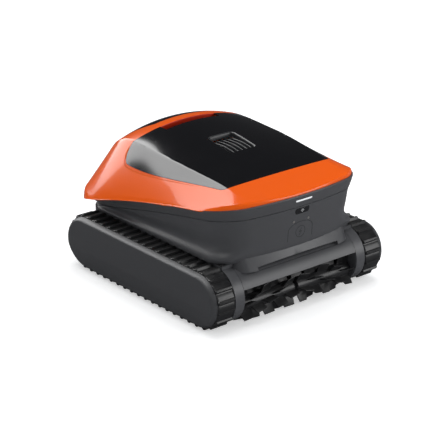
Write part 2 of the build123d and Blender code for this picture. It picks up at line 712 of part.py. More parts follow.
# ---------------------------------------------------------------- pump
shaft_radius = 3.0
impeller_bottom = deck_z + 34.0
impeller_height = 24.0
with BuildPart() as pump_motor:
    post(0, pump_y, deck_z - 62, deck_z - 4, pump_motor_radius)
    post(0, pump_y, deck_z - 4, deck_z, 14.0)
    post(0, pump_y, deck_z, deck_z + wall + 3, 6.0)
    post(0, pump_y, deck_z - 20, deck_z + 10, shaft_radius + fit, mode=Mode.SUBTRACT)
    chamfer(pump_motor.faces().sort_by(Axis.Z)[0].edges(), 2)
write(pump_motor.part, "pump_motor")

with BuildPart() as impeller:
    post(0, pump_y, deck_z - 19, impeller_bottom, shaft_radius)
    for turn in range(5):
        with Locations(Location((0, pump_y, impeller_bottom + impeller_height / 2), (0, 0, turn * 72.0))):
            with Locations(Location((impeller_radius / 2, 0, 0), (38, 0, 0))):
                Box(impeller_radius, 2.4, impeller_height * 1.05)
    post(0, pump_y, impeller_bottom, impeller_bottom + impeller_height, 13.0)
    with BuildPart(mode=Mode.PRIVATE) as swept:
        post(0, pump_y, deck_z - 20, impeller_bottom + impeller_height, impeller_radius)
    add(swept.part, mode=Mode.INTERSECT)
write(impeller.part, "impeller")

duct_bottom = deck_z + wall
duct_wall = 2.5
duct_top = basket_top + 22.0
duct_outer = duct_inner_radius + duct_wall
with BuildPart() as outlet_duct:
    post(0, pump_y, duct_bottom, duct_top, duct_outer)
    post(0, pump_y, duct_bottom, duct_bottom + 3, duct_outer + 3)
    post(0, pump_y, duct_bottom - 1, duct_top + 1, duct_inner_radius, mode=Mode.SUBTRACT)
    for turn in range(3):
        with Locations(Location((0, pump_y, duct_bottom + 17), (0, 0, turn * 60.0))):
            Box(2 * duct_outer + 4, 26, 22, mode=Mode.SUBTRACT)
    # guide vanes above the impeller
    with BuildPart(mode=Mode.PRIVATE) as vanes:
        for turn in (45.0, 135.0):
            with Locations(Location((0, pump_y, impeller_bottom + impeller_height + 14), (0, 0, turn))):
                Box(2 * duct_inner_radius + 2, 2.0, 16)
    add(vanes.part)
write(outlet_duct.part, "outlet_duct")

# ---------------------------------------------------------------- filter basket
basket_wall = 2.0
basket_rear = basket_front + basket_length
flap_length = mouth_length - 4.0
flap_axis_y = mouth_front + 2.0
flap_axis_z = basket_bottom + basket_wall + 2.5
with BuildPart() as basket:
    block(-basket_half_width, basket_half_width, basket_front, basket_rear, basket_bottom, basket_top)
    fillet(basket.edges().filter_by(Axis.Z), 10)
    with BuildPart(mode=Mode.PRIVATE) as room:
        block(-basket_half_width + basket_wall, basket_half_width - basket_wall, basket_front + basket_wall,
              basket_rear - basket_wall, basket_bottom + basket_wall, basket_top + 1)
        fillet(room.edges().filter_by(Axis.Z), 8)
    add(room.part, mode=Mode.SUBTRACT)
    # rim
    with BuildPart(mode=Mode.PRIVATE) as rim:
        block(-basket_half_width - 3, basket_half_width + 3, basket_front - 3, basket_rear + 3, basket_top - 3, basket_top)
        fillet(rim.edges().filter_by(Axis.Z), 13)
        add(room.part, mode=Mode.SUBTRACT)
    add(rim.part)
    # mesh windows
    for x in (-76, -26, 26, 76):
        block(x - 20, x + 20, basket_front - 1, basket_rear + 1, basket_bottom + 14, basket_top - 46,
              mode=Mode.SUBTRACT)
        block(x - 20, x + 20, basket_front - 1, basket_rear + 1, basket_top - 40, basket_top - 12,
              mode=Mode.SUBTRACT)
    # mouth over the intake duct
    block(-mouth_width / 2, mouth_width / 2, mouth_front, mouth_front + mouth_length - 1, basket_bottom - 1,
          basket_bottom + basket_wall + 1, mode=Mode.SUBTRACT)
    # hinge eyes of the flap
    for x in (-mouth_width / 2 - 3, mouth_width / 2):
        block(x, x + 3, flap_axis_y - 2.4, flap_axis_y + 2.4, basket_bottom, flap_axis_z + 2.4)
        rod(x - 1, x + 4, flap_axis_y, flap_axis_z, 1.2 + fit, mode=Mode.SUBTRACT)
write(basket.part, "filter_basket")

with BuildPart() as flap:
    flap_half = mouth_width / 2 - 0.6
    block(-flap_half, flap_half, flap_axis_y, flap_axis_y + flap_length + 4, flap_axis_z - 1, flap_axis_z + 1)
    rod(-flap_half, flap_half, flap_axis_y, flap_axis_z, 1.8)
    rod(-flap_half - 3, flap_half + 3, flap_axis_y, flap_axis_z, 1.2)
write(flap.part, "intake_flap")

# ---------------------------------------------------------------- outline sketches of the cover's panels
def lid_outline(inset, notch=True):
    """Plan of the black lid, with the finger notch in its rear edge."""
    with BuildSketch() as outline:
        with BuildLine():
            front_right = (lid_half_front, lid_front)
            rear_right = (lid_half_rear, lid_rear)
            middle_right = (lid_half_middle, (lid_front + lid_rear) / 2 - 28.0)
            mirrored = [(-x, y) for x, y in (front_right, middle_right, rear_right)]
            ThreePointArc(front_right, middle_right, rear_right)
            Line(rear_right, mirrored[2])
            ThreePointArc(mirrored[2], mirrored[1], mirrored[0])
            Line(mirrored[0], front_right)
        make_face()
        fillet(outline.vertices().sort_by(Axis.Y)[:2], 14)
        fillet(outline.vertices().sort_by(Axis.Y)[-2:], 18)
        if notch:
            with BuildLine():
                Polyline((-notch_half - 4, lid_rear + 1), (-notch_half + 4, lid_rear - notch_length),
                         (notch_half - 4, lid_rear - notch_length), (notch_half + 4, lid_rear + 1), close=True)
            make_face(mode=Mode.SUBTRACT)
        if inset:
            offset(amount=-inset, mode=Mode.REPLACE)
    return outline.sketch


def tail_outline(inset):
    """Plan of the black panel behind the carrying band."""
    front = lid_rear + band_middle
    shoulder = lid_rear + band_side
    with BuildSketch() as outline:
        with BuildLine():
            Polyline((-notch_half + 2, front), (notch_half - 2, front), (lid_half_front - 17, shoulder),
                     (lid_half_front - 24, tail - 22), (-lid_half_front + 24, tail - 22),
                     (-lid_half_front + 17, shoulder), close=True)
        make_face()
        fillet(outline.vertices().sort_by(Axis.Y)[2:4], 10)
        fillet(outline.vertices().sort_by(Axis.Y)[-2:], 12)
        if inset:
            offset(amount=-inset, mode=Mode.REPLACE)
    return outline.sketch


tall = body_height + 40.0
cover_0 = cover_form(0.0)
cover_1 = cover_form(wall)
cover_2 = cover_form(wall + ledge_drop)
cover_3 = cover_form(wall + 3.0)


def cover_height(x, y, form):
    """Height of the upper surface of a form at a place in plan."""
    probe = Edge.make_line((x, y, tall), (x, y, 0))
    hits = form.intersect(probe)
    return max(v.Z for v in hits.vertices())


# ---------------------------------------------------------------- cover frame
hinge_depth = 4.5           # lid surface to the hinge axis
hinge_y = lid_front + 1.0
hinge_z = cover_height(0, hinge_y, cover_0) - hinge_depth
hinge_sweep = hinge_depth + 1.25
knuckle_radius = 2.2
hinge_pin_radius = 1.1
lid_knuckle = (38.5, 89.5)
frame_knuckles = ((30.0, 38.0), (90.0, 98.0))
latch_half = 4.5
latch_x = notch_half - 8.0
latch_z = cover_height(latch_x, lid_rear - notch_length, cover_0) - 10.0

with BuildPart() as cover_shell:
    add(cover_0)
    add(cover_1, mode=Mode.SUBTRACT)
    add(above_edge(-300, 0), mode=Mode.SUBTRACT)
    with BuildSketch():
        add(lid_outline(0.0, notch=False))
        add(tail_outline(0.0))
    extrude(amount=tall, mode=Mode.SUBTRACT)

# Recess under the cover in which the lid and the tail panel lie.
with BuildPart() as seat:
    add(cover_1)
    add(cover_2, mode=Mode.SUBTRACT)
    with BuildSketch():
        add(lid_outline(0.0, notch=False))
        add(tail_outline(0.0))
    extrude(amount=tall, mode=Mode.INTERSECT)

# Ledge round both openings.
with BuildPart() as ledge:
    with BuildSketch():
        add(lid_outline(-5.0, notch=False))
        add(tail_outline(-3.0))
    extrude(amount=tall)
    add(cover_1, mode=Mode.INTERSECT)
    add(cover_3, mode=Mode.SUBTRACT)
    with BuildSketch():
        add(lid_outline(ledge_width, notch=False))
        add(tail_outline(ledge_width))
    extrude(amount=tall, mode=Mode.SUBTRACT)
    add(seat.part, mode=Mode.SUBTRACT)

# Wall under the front edge of the carrying band, which the fingers hook behind.
with BuildPart() as band_wall:
    block(-notch_half - 8, notch_half + 8, lid_rear, lid_rear + 3, latch_z - 5, body_height)
    add(cover_1, mode=Mode.INTERSECT)

with BuildPart() as frame:
    add(cover_shell.part)
    add(ledge.part)
    add(band_wall.part)
    # way for the lid's rear edge and the finger notch
    block(-notch_half - 3, notch_half + 3, lid_rear - notch_length, lid_rear, latch_z - 20, body_height,
          mode=Mode.SUBTRACT)
    # keeper slot of the lid latch
    block(latch_x - latch_half - 0.3, latch_x + latch_half + 0.3, lid_rear - 1, lid_rear + 4,
          latch_z - 2.1, latch_z + 2.1, mode=Mode.SUBTRACT)
    # clearance that the front edge of the lid swings through
    rod(-lid_half_front + 2, lid_half_front - 2, hinge_y, hinge_z, hinge_sweep, mode=Mode.SUBTRACT)
    for side in (-1, 1):
        for x0, x1 in frame_knuckles:
            ends = sorted((side * x0, side * x1))
            rod(ends[0], ends[1], hinge_y, hinge_z, knuckle_radius)
            block(ends[0], ends[1], hinge_y - 12, hinge_y, hinge_z - knuckle_radius, hinge_z - 0.3)
            rod(ends[0] - 1, ends[1] + 1, hinge_y, hinge_z, hinge_pin_radius, mode=Mode.SUBTRACT)
write(frame.part, "top_frame")

with BuildPart() as tail_panel:
    add(cover_0)
    add(cover_1, mode=Mode.SUBTRACT)
    with BuildSketch():
        add(tail_outline(seam))
    extrude(amount=tall, mode=Mode.INTERSECT)
write(tail_panel.part, "tail_panel")

# ---------------------------------------------------------------- lid with outlet grille and latch
with BuildPart() as lid:
    add(cover_0)
    add(cover_1, mode=Mode.SUBTRACT)
    with BuildSketch():
        add(lid_outline(seam))
    extrude(amount=tall, mode=Mode.INTERSECT)
    with BuildSketch():
        with Locations((0, pump_y)):
            RectangleRounded(grille_width, grille_length, 5)
    extrude(amount=tall, mode=Mode.SUBTRACT)
    for side in (-1, 1):
        for x0, x1 in frame_knuckles:
            ends = sorted((side * (x0 - 0.4), side * (x1 + 0.4)))
            rod(ends[0], ends[1], hinge_y, hinge_z, knuckle_radius + 0.3, mode=Mode.SUBTRACT)
        ends = sorted((side * lid_knuckle[0], side * lid_knuckle[1]))
        rod(ends[0], ends[1], hinge_y, hinge_z, knuckle_radius)
        block(ends[0], ends[1], hinge_y, hinge_y + 3.5, hinge_z, hinge_z + 2.5)
        rod(ends[0] - 1, ends[1] + 1, hinge_y, hinge_z, hinge_pin_radius + fit, mode=Mode.SUBTRACT)
    # guide of the latch under the rear edge
    with BuildPart(mode=Mode.PRIVATE) as guide:
        block(latch_x - latch_half - 2.5, latch_x + latch_half + 2.5, lid_rear - notch_length - 12,
              lid_rear - notch_length - 1, latch_z - 4.5, body_height)
        add(cover_0, mode=Mode.INTERSECT)
    add(guide.part)
    block(latch_x - latch_half - 0.1, latch_x + latch_half + 0.1, lid_rear - notch_length - 13,
          lid_rear - notch_length, latch_z - 1.9, latch_z + 1.9, mode=Mode.SUBTRACT)
write(lid.part, "top_lid")

with BuildPart() as latch:
    block(latch_x - latch_half, latch_x + latch_half, lid_rear - notch_length - 14, lid_rear - 0.6,
          latch_z - 1.8, latch_z + 1.8)
    block(latch_x - latch_half, latch_x + latch_half, lid_rear - 12, lid_rear - 6, latch_z + 1.8, latch_z + 5.0)
    fillet(latch.edges().filter_by(Axis.X).sort_by(Axis.Z)[-2:], 1.2)
write(latch.part, "lid_latch")

with BuildPart() as lid_pins:
    for side in (-1, 1):
        ends = sorted((side * (frame_knuckles[0][0] + 0.5), side * (frame_knuckles[1][1] - 0.5)))
        rod(ends[0], ends[1], hinge_y, hinge_z, hinge_pin_radius)
write(lid_pins.part, "lid_hinge_pins")

grille_depth = 11.0
with BuildPart() as grille:
    with BuildSketch():
        with Locations((0, pump_y)):
            RectangleRounded(grille_width - 0.2, grille_length - 0.2, 4.9)
            RectangleRounded(grille_width - 4.2, grille_length - 4.2, 3, mode=Mode.SUBTRACT)
    extrude(amount=tall)
    add(cover_0, mode=Mode.INTERSECT)
    with BuildPart(mode=Mode.PRIVATE) as fins:
        for k in range(5):
            x = (k - 2) * grille_width / 6
            block(x - 1.3, x + 1.3, pump_y - grille_length / 2 + 1, pump_y + grille_length / 2 - 1,
                  body_height - 60, body_height)
        add(cover_1, mode=Mode.INTERSECT)
    add(fins.part)
    add(cover_form(grille_depth), mode=Mode.SUBTRACT)
write(grille.part, "outlet_grille")

well_front = lid_rear - notch_length + 1.0
well_rear = lid_rear + band_middle - 2.0
with BuildPart() as grip_well:
    block(-notch_half, notch_half, well_front, well_rear, latch_z - 26, latch_z - 5.2)
    fillet(grip_well.edges().filter_by(Axis.Z), 6)
    with BuildPart(mode=Mode.PRIVATE) as pocket:
        block(-notch_half + 2, notch_half - 2, well_front + 2, well_rear - 2, latch_z - 24, latch_z)
        fillet(pocket.edges().filter_by(Axis.Z), 4)
    add(pocket.part, mode=Mode.SUBTRACT)
write(grip_well.part, "grip_well")

# ---------------------------------------------------------------- hull
hull_0 = hull_form(0.0)
hull_1 = hull_form(wall)
bumper_top = chassis_top + 10.0
button_z = edge_z_front - 29.0
lamp_z = edge_z_front - 8.5
lamp_half = 18.3
lamp_height = 3.2
window_half = 15.9
window_height = 11.5
button_radius = 5.0
contact_x = 16.6
contact_z = button_z - 19.0
contact_radius = 2.2
coil_z = contact_z - 21.0


def rod_y(x, y0, y1, z, radius, mode=Mode.ADD):
    """A cylinder along Y between y0 and y1."""
    with Locations(Location((x, (y0 + y1) / 2, z), (90, 0, 0))):
        Cylinder(radius, y1 - y0, mode=mode)


with BuildPart() as hull_shell:
    add(hull_0)
    add(hull_1, mode=Mode.SUBTRACT)
    with BuildPart(mode=Mode.PRIVATE) as flange:
        block(-track_outer, track_outer, -nose - 20, tail + 20, hull_bottom, hull_bottom + wall)
        add(hull_0, mode=Mode.INTERSECT)
        block(-inner_half + 3, inner_half - 3, -chassis_front + 4, chassis_rear - wall - 6, 0, hull_bottom + 20,
              mode=Mode.SUBTRACT)
    add(flange.part)
    # room for the bumper
    block(-case_inner_x, case_inner_x, -nose - 20, -chassis_front, 0, bumper_top + 0.3, mode=Mode.SUBTRACT)

with BuildPart() as mid_hull:
    add(hull_shell.part)
    add(above_edge(-band_height - 0.3, 300), mode=Mode.SUBTRACT)
    block(-window_half, window_half, -nose - 20, -nose + 20, button_z - window_height / 2,
          button_z + window_height / 2, mode=Mode.SUBTRACT)
    for x in (-contact_x, contact_x):
        rod_y(x, -nose - 10, -nose + 20, contact_z, contact_radius, mode=Mode.SUBTRACT)
write(mid_hull.part, "mid_hull")

with BuildPart() as light_band:
    add(hull_shell.part)
    add(above_edge(-band_height, -0.3), mode=Mode.INTERSECT)
    block(-lamp_half, lamp_half, -nose - 20, -nose + 20, lamp_z - lamp_height / 2, lamp_z + lamp_height / 2,
          mode=Mode.SUBTRACT)
write(light_band.part, "light_band")

with BuildPart() as lamp:
    block(-lamp_half, lamp_half, -nose - 20, -nose + 4, lamp_z - lamp_height / 2, lamp_z + lamp_height / 2)
    add(hull_0, mode=Mode.INTERSECT)
write(lamp.part, "led_light_pipe")

with BuildPart() as button_bezel:
    block(-window_half, window_half, -nose - 20, -nose + 6, button_z - window_height / 2,
          button_z + window_height / 2)
    add(hull_0, mode=Mode.INTERSECT)
    rod_y(0, -nose - 20, -nose + 20, button_z, button_radius + 0.15, mode=Mode.SUBTRACT)
write(button_bezel.part, "button_bezel")

with BuildPart() as power_button:
    rod_y(0, -nose + 0.4, -nose + 6.5, button_z, button_radius)
    fillet(power_button.edges().sort_by(Axis.Y)[0], 0.8)
    rod_y(0, -nose + 6.5, -nose + 8, button_z, button_radius + 1.5)
write(power_button.part, "power_button")

with BuildPart() as contacts:
    for x in (-contact_x, contact_x):
        with BuildPart(mode=Mode.PRIVATE) as pin:
            rod_y(x, -nose - 10, -nose + 12, contact_z, contact_radius)
            add(hull_0, mode=Mode.INTERSECT)
        add(pin.part)
write(contacts.part, "charge_contacts")

with BuildPart() as coil:
    rod_y(0, -nose + 12, -nose + 15, coil_z, 21)
    rod_y(0, -nose + 11, -nose + 13.2, coil_z, 8, mode=Mode.SUBTRACT)
write(coil.part, "charging_coil")

with BuildPart() as gasket:
    block(-chassis_half, chassis_half, -chassis_front, chassis_rear, chassis_top, hull_bottom)
    fillet(gasket.edges().filter_by(Axis.Z).sort_by(Axis.Y)[-2:], 30)
    with BuildPart(mode=Mode.PRIVATE) as opening:
        block(-inner_half, inner_half, -chassis_front + 4, chassis_rear - wall - 2, 0, hull_bottom + 1)
        fillet(opening.edges().filter_by(Axis.Z).sort_by(Axis.Y)[-2:], 26)
    add(opening.part, mode=Mode.SUBTRACT)
write(gasket.part, "hull_gasket")

# ---------------------------------------------------------------- bumper over the brush
bar_half = case_inner_x - 0.5
apron_bottom = axle_z + 40.5
apron_front = nose + 2.0
slot_half = 92.0
with BuildPart() as bumper:
    for inset, mode in ((0.0, Mode.ADD), (wall, Mode.SUBTRACT)):
        with BuildSketch(Plane.XY.offset(apron_bottom - inset)):
            add(plan(bar_half - 3, bar_half, apron_front, -axle_y + 20, 26, 1, inset))
        with BuildSketch(Plane.XY.offset(bumper_top - inset)):
            add(plan(bar_half - 5, bar_half, apron_front - 11, -axle_y + 20, 22, 1, inset))
        loft(mode=mode)
    # bar that carries on round the front wheel axis
    with BuildPart(mode=Mode.PRIVATE) as bar:
        rod(-bar_half, bar_half, -axle_y, axle_z, gear_case_radius)
        rod(-bar_half - 1, bar_half + 1, -axle_y, axle_z, gear_case_radius - 3.5, mode=Mode.SUBTRACT)
        block(-bar_half - 1, bar_half + 1, -nose - 20, -axle_y + 60, 0, axle_z + 17, mode=Mode.SUBTRACT)
    add(bar.part)
    # scoop: a sloping panel over a slit
    with BuildSketch(side_plane(-slot_half)):
        with BuildLine():
            Polyline((-apron_front - 12, apron_bottom + 10.5), (-apron_front + 5, apron_bottom + 10.5),
                     (-apron_front + 17, apron_bottom + 1.5), (-apron_front + 17, apron_bottom - 3.5),
                     (-apron_front - 12, apron_bottom - 3.5), close=True)
        make_face()
    extrude(amount=2 * slot_half, mode=Mode.SUBTRACT)
    # seat on the front of the chassis and the brush tunnel
    block(-bar_half - 1, bar_half + 1, -chassis_front - 0.3, 0, 0, bumper_top + 1, mode=Mode.SUBTRACT)
    rod(-bar_half - 1, bar_half + 1, brush_y, brush_z, brush_tunnel_radius, mode=Mode.SUBTRACT)
write(bumper.part, "front_bumper")

# Screws of the deck.
with BuildPart() as deck_screws:
    for x in (-deck_post_x, deck_post_x):
        for y in deck_post_ys:
            post(x, y, deck_z - 8, deck_z + wall, 2.0)
            post(x, y, deck_z + wall, deck_z + wall + 2.5, 4.0)
write(deck_screws.part, "deck_screws")
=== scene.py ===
"""Looks of a tracked pool cleaning robot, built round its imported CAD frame.

Lengths in this file are millimetres until a mesh is made; meshes are in metres.
The front of the robot faces -Y, +Z is up and X = 0 is its middle plane.
"""
import json
from math import radians

import bmesh
import bpy
import numpy as np
from bpy.props import FloatProperty, FloatVectorProperty, IntProperty, PointerProperty
from mathutils import Matrix, Vector

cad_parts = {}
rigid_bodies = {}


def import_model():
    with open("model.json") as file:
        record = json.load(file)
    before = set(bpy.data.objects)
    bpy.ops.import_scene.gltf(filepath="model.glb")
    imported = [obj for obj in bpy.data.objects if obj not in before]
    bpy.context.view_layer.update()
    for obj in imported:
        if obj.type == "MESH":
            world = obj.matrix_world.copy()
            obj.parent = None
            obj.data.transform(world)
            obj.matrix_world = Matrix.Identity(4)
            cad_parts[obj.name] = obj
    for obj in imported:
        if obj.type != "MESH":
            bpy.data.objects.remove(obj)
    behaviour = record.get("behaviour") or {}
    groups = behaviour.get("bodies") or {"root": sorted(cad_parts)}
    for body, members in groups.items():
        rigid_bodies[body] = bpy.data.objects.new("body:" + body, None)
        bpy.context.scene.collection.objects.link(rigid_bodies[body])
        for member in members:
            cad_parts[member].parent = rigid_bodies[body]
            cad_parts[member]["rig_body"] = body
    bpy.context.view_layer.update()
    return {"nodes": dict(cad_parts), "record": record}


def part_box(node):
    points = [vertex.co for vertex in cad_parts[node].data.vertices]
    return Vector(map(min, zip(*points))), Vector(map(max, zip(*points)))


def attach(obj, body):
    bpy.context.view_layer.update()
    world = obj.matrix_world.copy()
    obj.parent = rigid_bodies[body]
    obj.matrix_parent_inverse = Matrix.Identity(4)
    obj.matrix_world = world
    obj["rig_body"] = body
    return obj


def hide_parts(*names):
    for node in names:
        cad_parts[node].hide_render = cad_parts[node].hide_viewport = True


bl_info = {
    "name": "Pool Robot Looks",
    "version": (1, 0, 0),
    "blender": (4, 5, 0),
    "location": "View3D > Sidebar > Pool Robot",
    "description": "Builds the visible pieces, finishes, light and floor of a tracked pool cleaning robot",
    "category": "Object",
}

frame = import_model()
METRES = 0.001


def cad(node):
    """Lowest and highest corner of a CAD node in millimetres."""
    low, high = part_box(node)
    return np.array(low) / METRES, np.array(high) / METRES


COVER_LOW, COVER_HIGH = cad("top_frame")
BELT_LOW, BELT_HIGH = cad("track_right")
SIDE_LOW, SIDE_HIGH = cad("side_cover_right")
HULL_LOW, _ = cad("mid_hull")
BRUSH_LOW, BRUSH_HIGH = cad("brush_blades_right")
GRILLE_LOW, GRILLE_HIGH = cad("outlet_grille")
LAMP_LOW, LAMP_HIGH = cad("led_light_pipe")
LATCH_LOW, LATCH_HIGH = cad("lid_latch")


# ---------------------------------------------------------------- settings a user may change
class CoverSettings(bpy.types.PropertyGroup):
    """Sizes of the cover and its panels, millimetres."""

    nose: FloatProperty(name="Nose", description="Origin to the cover's front", default=float(-COVER_LOW[1]))
    tail: FloatProperty(name="Tail", description="Origin to the cover's back", default=float(COVER_HIGH[1]))
    top: FloatProperty(name="Top", description="Floor to the cover's top", default=float(COVER_HIGH[2] - 0.1))
    half_rear: FloatProperty(name="Rear half width", description="Half width at the tail", default=187.0)
    taper: FloatProperty(name="Taper", description="How much each side narrows to the front", default=22.0)
    panel: FloatProperty(name="Panel", description="Thickness of the shells", default=2.6, min=0.5)
    seam: FloatProperty(name="Seam", description="Gap round the lid and the rear panel", default=0.6, min=0.1)
    edge_round: FloatProperty(name="Edge round", description="Radius on panel edges", default=0.55, min=0.05)
    rim_round: FloatProperty(name="Rim round", description="Width of the rounded rim", default=3.2, min=0.5)


class TrackSettings(bpy.types.PropertyGroup):
    """Sizes of the belts, millimetres."""

    pitch_count: IntProperty(name="Runs", description="Cleats on a straight run", default=16, min=4)
    turn_count: IntProperty(name="Turns", description="Cleats on a turn", default=8, min=4)
    thickness: FloatProperty(name="Belt", description="Thickness of the belt", default=3.0, min=1.0)
    cleat: FloatProperty(name="Cleat", description="Height of a cleat", default=4.0, min=0.5)


class FinishSettings(bpy.types.PropertyGroup):
    """Colours of the finishes."""

    orange: FloatVectorProperty(name="Orange", description="Gloss paint of the cover frame", subtype="COLOR",
                                size=3, default=(0.93, 0.118, 0.004))
    black: FloatVectorProperty(name="Black", description="Gloss black of lid and rear panel", subtype="COLOR",
                               size=3, default=(0.0045, 0.0047, 0.0058))
    grey: FloatVectorProperty(name="Grey", description="Satin grey of the hull", subtype="COLOR",
                              size=3, default=(0.062, 0.063, 0.068))
    cover_grey: FloatVectorProperty(name="Side grey", description="Matte side covers", subtype="COLOR",
                                    size=3, default=(0.045, 0.046, 0.050))
    rubber: FloatVectorProperty(name="Rubber", description="Rubber of belts and blades", subtype="COLOR",
                                size=3, default=(0.0115, 0.0117, 0.0125))


class StageSettings(bpy.types.PropertyGroup):
    """Camera, floor and light."""

    lens: FloatProperty(name="Lens", description="Focal length", default=139.3, subtype="DISTANCE_CAMERA")
    azimuth: FloatProperty(name="Azimuth", description="Camera round the robot from its front",
                           default=radians(-39.646), subtype="ANGLE")
    elevation: FloatProperty(name="Elevation", description="Camera above the floor",
                             default=radians(21.625), subtype="ANGLE")
    reach: FloatProperty(name="Reach", description="Camera to its target", default=2.995, unit="LENGTH")
    sky: FloatProperty(name="Sky", description="Strength of the surrounding light", default=0.5, min=0.0)


# ---------------------------------------------------------------- curves and outlines
def spline(knots, values, places):
    """Natural cubic spline: second derivatives solve the usual three-band system, zero at both ends."""
    knots = np.asarray(knots, float)
    values = np.asarray(values, float)
    places = np.asarray(places, float)
    step = np.diff(knots)
    count = len(knots)
    system = np.eye(count)
    right = np.zeros_like(values)
    inner = np.arange(1, count - 1)
    system[inner, inner - 1] = step[:-1]
    system[inner, inner] = 2 * (step[:-1] + step[1:])
    system[inner, inner + 1] = step[1:]
    rise = np.diff(values, axis=0) / step.reshape(-1, *([1] * (values.ndim - 1)))
    right[1:-1] = 6 * np.diff(rise, axis=0)
    bend = np.linalg.solve(system, right)
    k = np.clip(np.searchsorted(knots, places) - 1, 0, count - 2)
    shape = places.shape + (1,) * (values.ndim - 1)
    h = step[k].reshape(shape)
    a = ((knots[k + 1] - places).reshape(shape)) / h
    b = ((places - knots[k]).reshape(shape)) / h
    return (a * values[k] + b * values[k + 1]
            + ((a ** 3 - a) * bend[k] + (b ** 3 - b) * bend[k + 1]) * h * h / 6)


def rounded(corners, radii, arc_steps=8, edge_step=3.0):
    """Closed outline of straight edges whose corners are arcs tangent to both edges."""
    corners = [np.array(c, float) for c in corners]
    count = len(corners)
    pieces = []
    for k in range(count):
        here, before, after = corners[k], corners[k - 1], corners[(k + 1) % count]
        to_before = (before - here) / np.linalg.norm(before - here)
        to_after = (after - here) / np.linalg.norm(after - here)
        if radii[k] <= 0:
            pieces.append(here[None])
            continue
        half = np.arccos(np.clip(to_before @ to_after, -1, 1)) / 2
        trim = radii[k] / np.tan(half)
        middle = (to_before + to_after) / np.linalg.norm(to_before + to_after)
        centre = here + middle * radii[k] / np.sin(half)
        start = here + to_before * trim - centre
        end = here + to_after * trim - centre
        turn = np.linspace(0, 1, arc_steps + 1)[:, None]
        sweep = np.pi - 2 * half
        arc = (np.sin((1 - turn) * sweep) * start + np.sin(turn * sweep) * end) / np.sin(sweep)
        pieces.append(centre + arc)
    outline = []
    for k in range(count):
        outline.append(pieces[k])
        start, end = pieces[k][-1], pieces[(k + 1) % count][0]
        steps = max(1, int(np.linalg.norm(end - start) / edge_step))
        outline.append(start + (end - start) * (np.arange(1, steps) / steps)[:, None])
    return np.concatenate(outline)


def at_angles(outline, angles):
    """Points of a closed outline on rays from the origin: radius read over the angle, all round."""
    around = np.arctan2(outline[:, 1], outline[:, 0])
    radius = np.hypot(outline[:, 0], outline[:, 1])
    order = np.argsort(around)
    read = np.interp(angles, around[order], radius[order], period=2 * np.pi)
    return np.stack([read * np.cos(angles), read * np.sin(angles)], -1)


# ---------------------------------------------------------------- form of the cover
# Share of the cover's length from the nose, drop of the ridge below the top, drop of the
# shoulder below the ridge, and shoulder in from the side.
COVER_STATIONS = np.array([
    (0.00, 53.0, 0.6, 62.0),
    (0.14, 37.0, 1.2, 58.0),
    (0.27, 26.0, 5.0, 55.0),
    (0.42, 14.5, 11.0, 53.0),
    (0.57, 5.5, 16.0, 55.0),
    (0.73, 0.0, 19.0, 60.0),
    (0.85, 9.0, 21.0, 66.0),
    (0.925, 33.0, 24.0, 74.0),
    (0.97, 70.0, 22.0, 84.0),
    (1.00, 132.0, 8.0, 94.0),
])
EDGE_FRONT, EDGE_MIDDLE, EDGE_REAR = 212.0, 177.0, 122.0
FRONT_BOW = 500.0
CORNER_FRONT, CORNER_REAR = 56.0, 60.0
BAND_HEIGHT = 21.0


def cover_edge(y):
    """Height of the cover's lower edge: a parabola through its front, middle and rear heights."""
    cover = bpy.context.scene.robot_cover
    half = (cover.nose + cover.tail) / 2
    t = (y + cover.nose - half) / half
    return (EDGE_MIDDLE + (EDGE_REAR - EDGE_FRONT) / 2 * t
            + ((EDGE_REAR + EDGE_FRONT) / 2 - EDGE_MIDDLE) * t * t)


def cover_height(x, y, drop=0.0):
    """Height of the cover: a crown arc between the shoulders, then a side arc down to the rim.

    The crown arc goes through both shoulders and the ridge, the side arc through shoulder,
    bulge and rim; ridge, shoulder and rim run along the robot as cubic splines.
    """
    cover = bpy.context.scene.robot_cover
    share = np.clip((y + cover.nose) / (cover.nose + cover.tail), 0, 1)
    ridge_drop, fall, inward = np.moveaxis(spline(COVER_STATIONS[:, 0], COVER_STATIONS[:, 1:], share), -1, 0)
    half = cover.half_rear - cover.taper * (1 - share) + 1.5
    ridge = cover.top - ridge_drop
    fall = np.maximum(fall, 0.3)
    shoulder = ridge - fall
    shoulder_x = half - inward
    rim = np.minimum(cover_edge(y) - 4.0, shoulder - 2.0)
    crown_radius = (shoulder_x ** 2 + fall ** 2) / (2 * fall)
    out = np.abs(x)
    crown = ridge - crown_radius + np.sqrt(np.maximum(crown_radius ** 2 - out ** 2, 0))
    bulge_x, bulge_z = (half + shoulder_x) / 2 + 3.0, (rim + shoulder) / 2 + 2.5
    # circle through the shoulder, the bulge and the rim
    ax, az = shoulder_x - bulge_x, shoulder - bulge_z
    bx, bz = half - bulge_x, rim - bulge_z
    d = 2 * (ax * bz - az * bx)
    d = np.where(np.abs(d) < 1e-6, 1e-6, d)
    ux = (bz * (ax ** 2 + az ** 2) - az * (bx ** 2 + bz ** 2)) / d
    uz = (ax * (bx ** 2 + bz ** 2) - bx * (ax ** 2 + az ** 2)) / d
    side_radius = np.hypot(ux, uz)
    side = bulge_z + uz + np.sqrt(np.maximum(side_radius ** 2 - (out - bulge_x - ux) ** 2, 0))
    return np.where(out <= shoulder_x, crown, side) - drop


def on_cover(outline, drop=0.0):
    """Points of a plan outline, or of a grid of plan points, put on the cover."""
    return np.concatenate([outline, cover_height(outline[..., 0], outline[..., 1], drop)[..., None]], -1)


def bow(x, half):
    """How far the bowed front stands ahead of its own corners at x."""
    return np.maximum(np.sqrt(FRONT_BOW ** 2 - np.minimum(np.abs(x), half) ** 2)
                      - np.sqrt(FRONT_BOW ** 2 - half ** 2), 0)


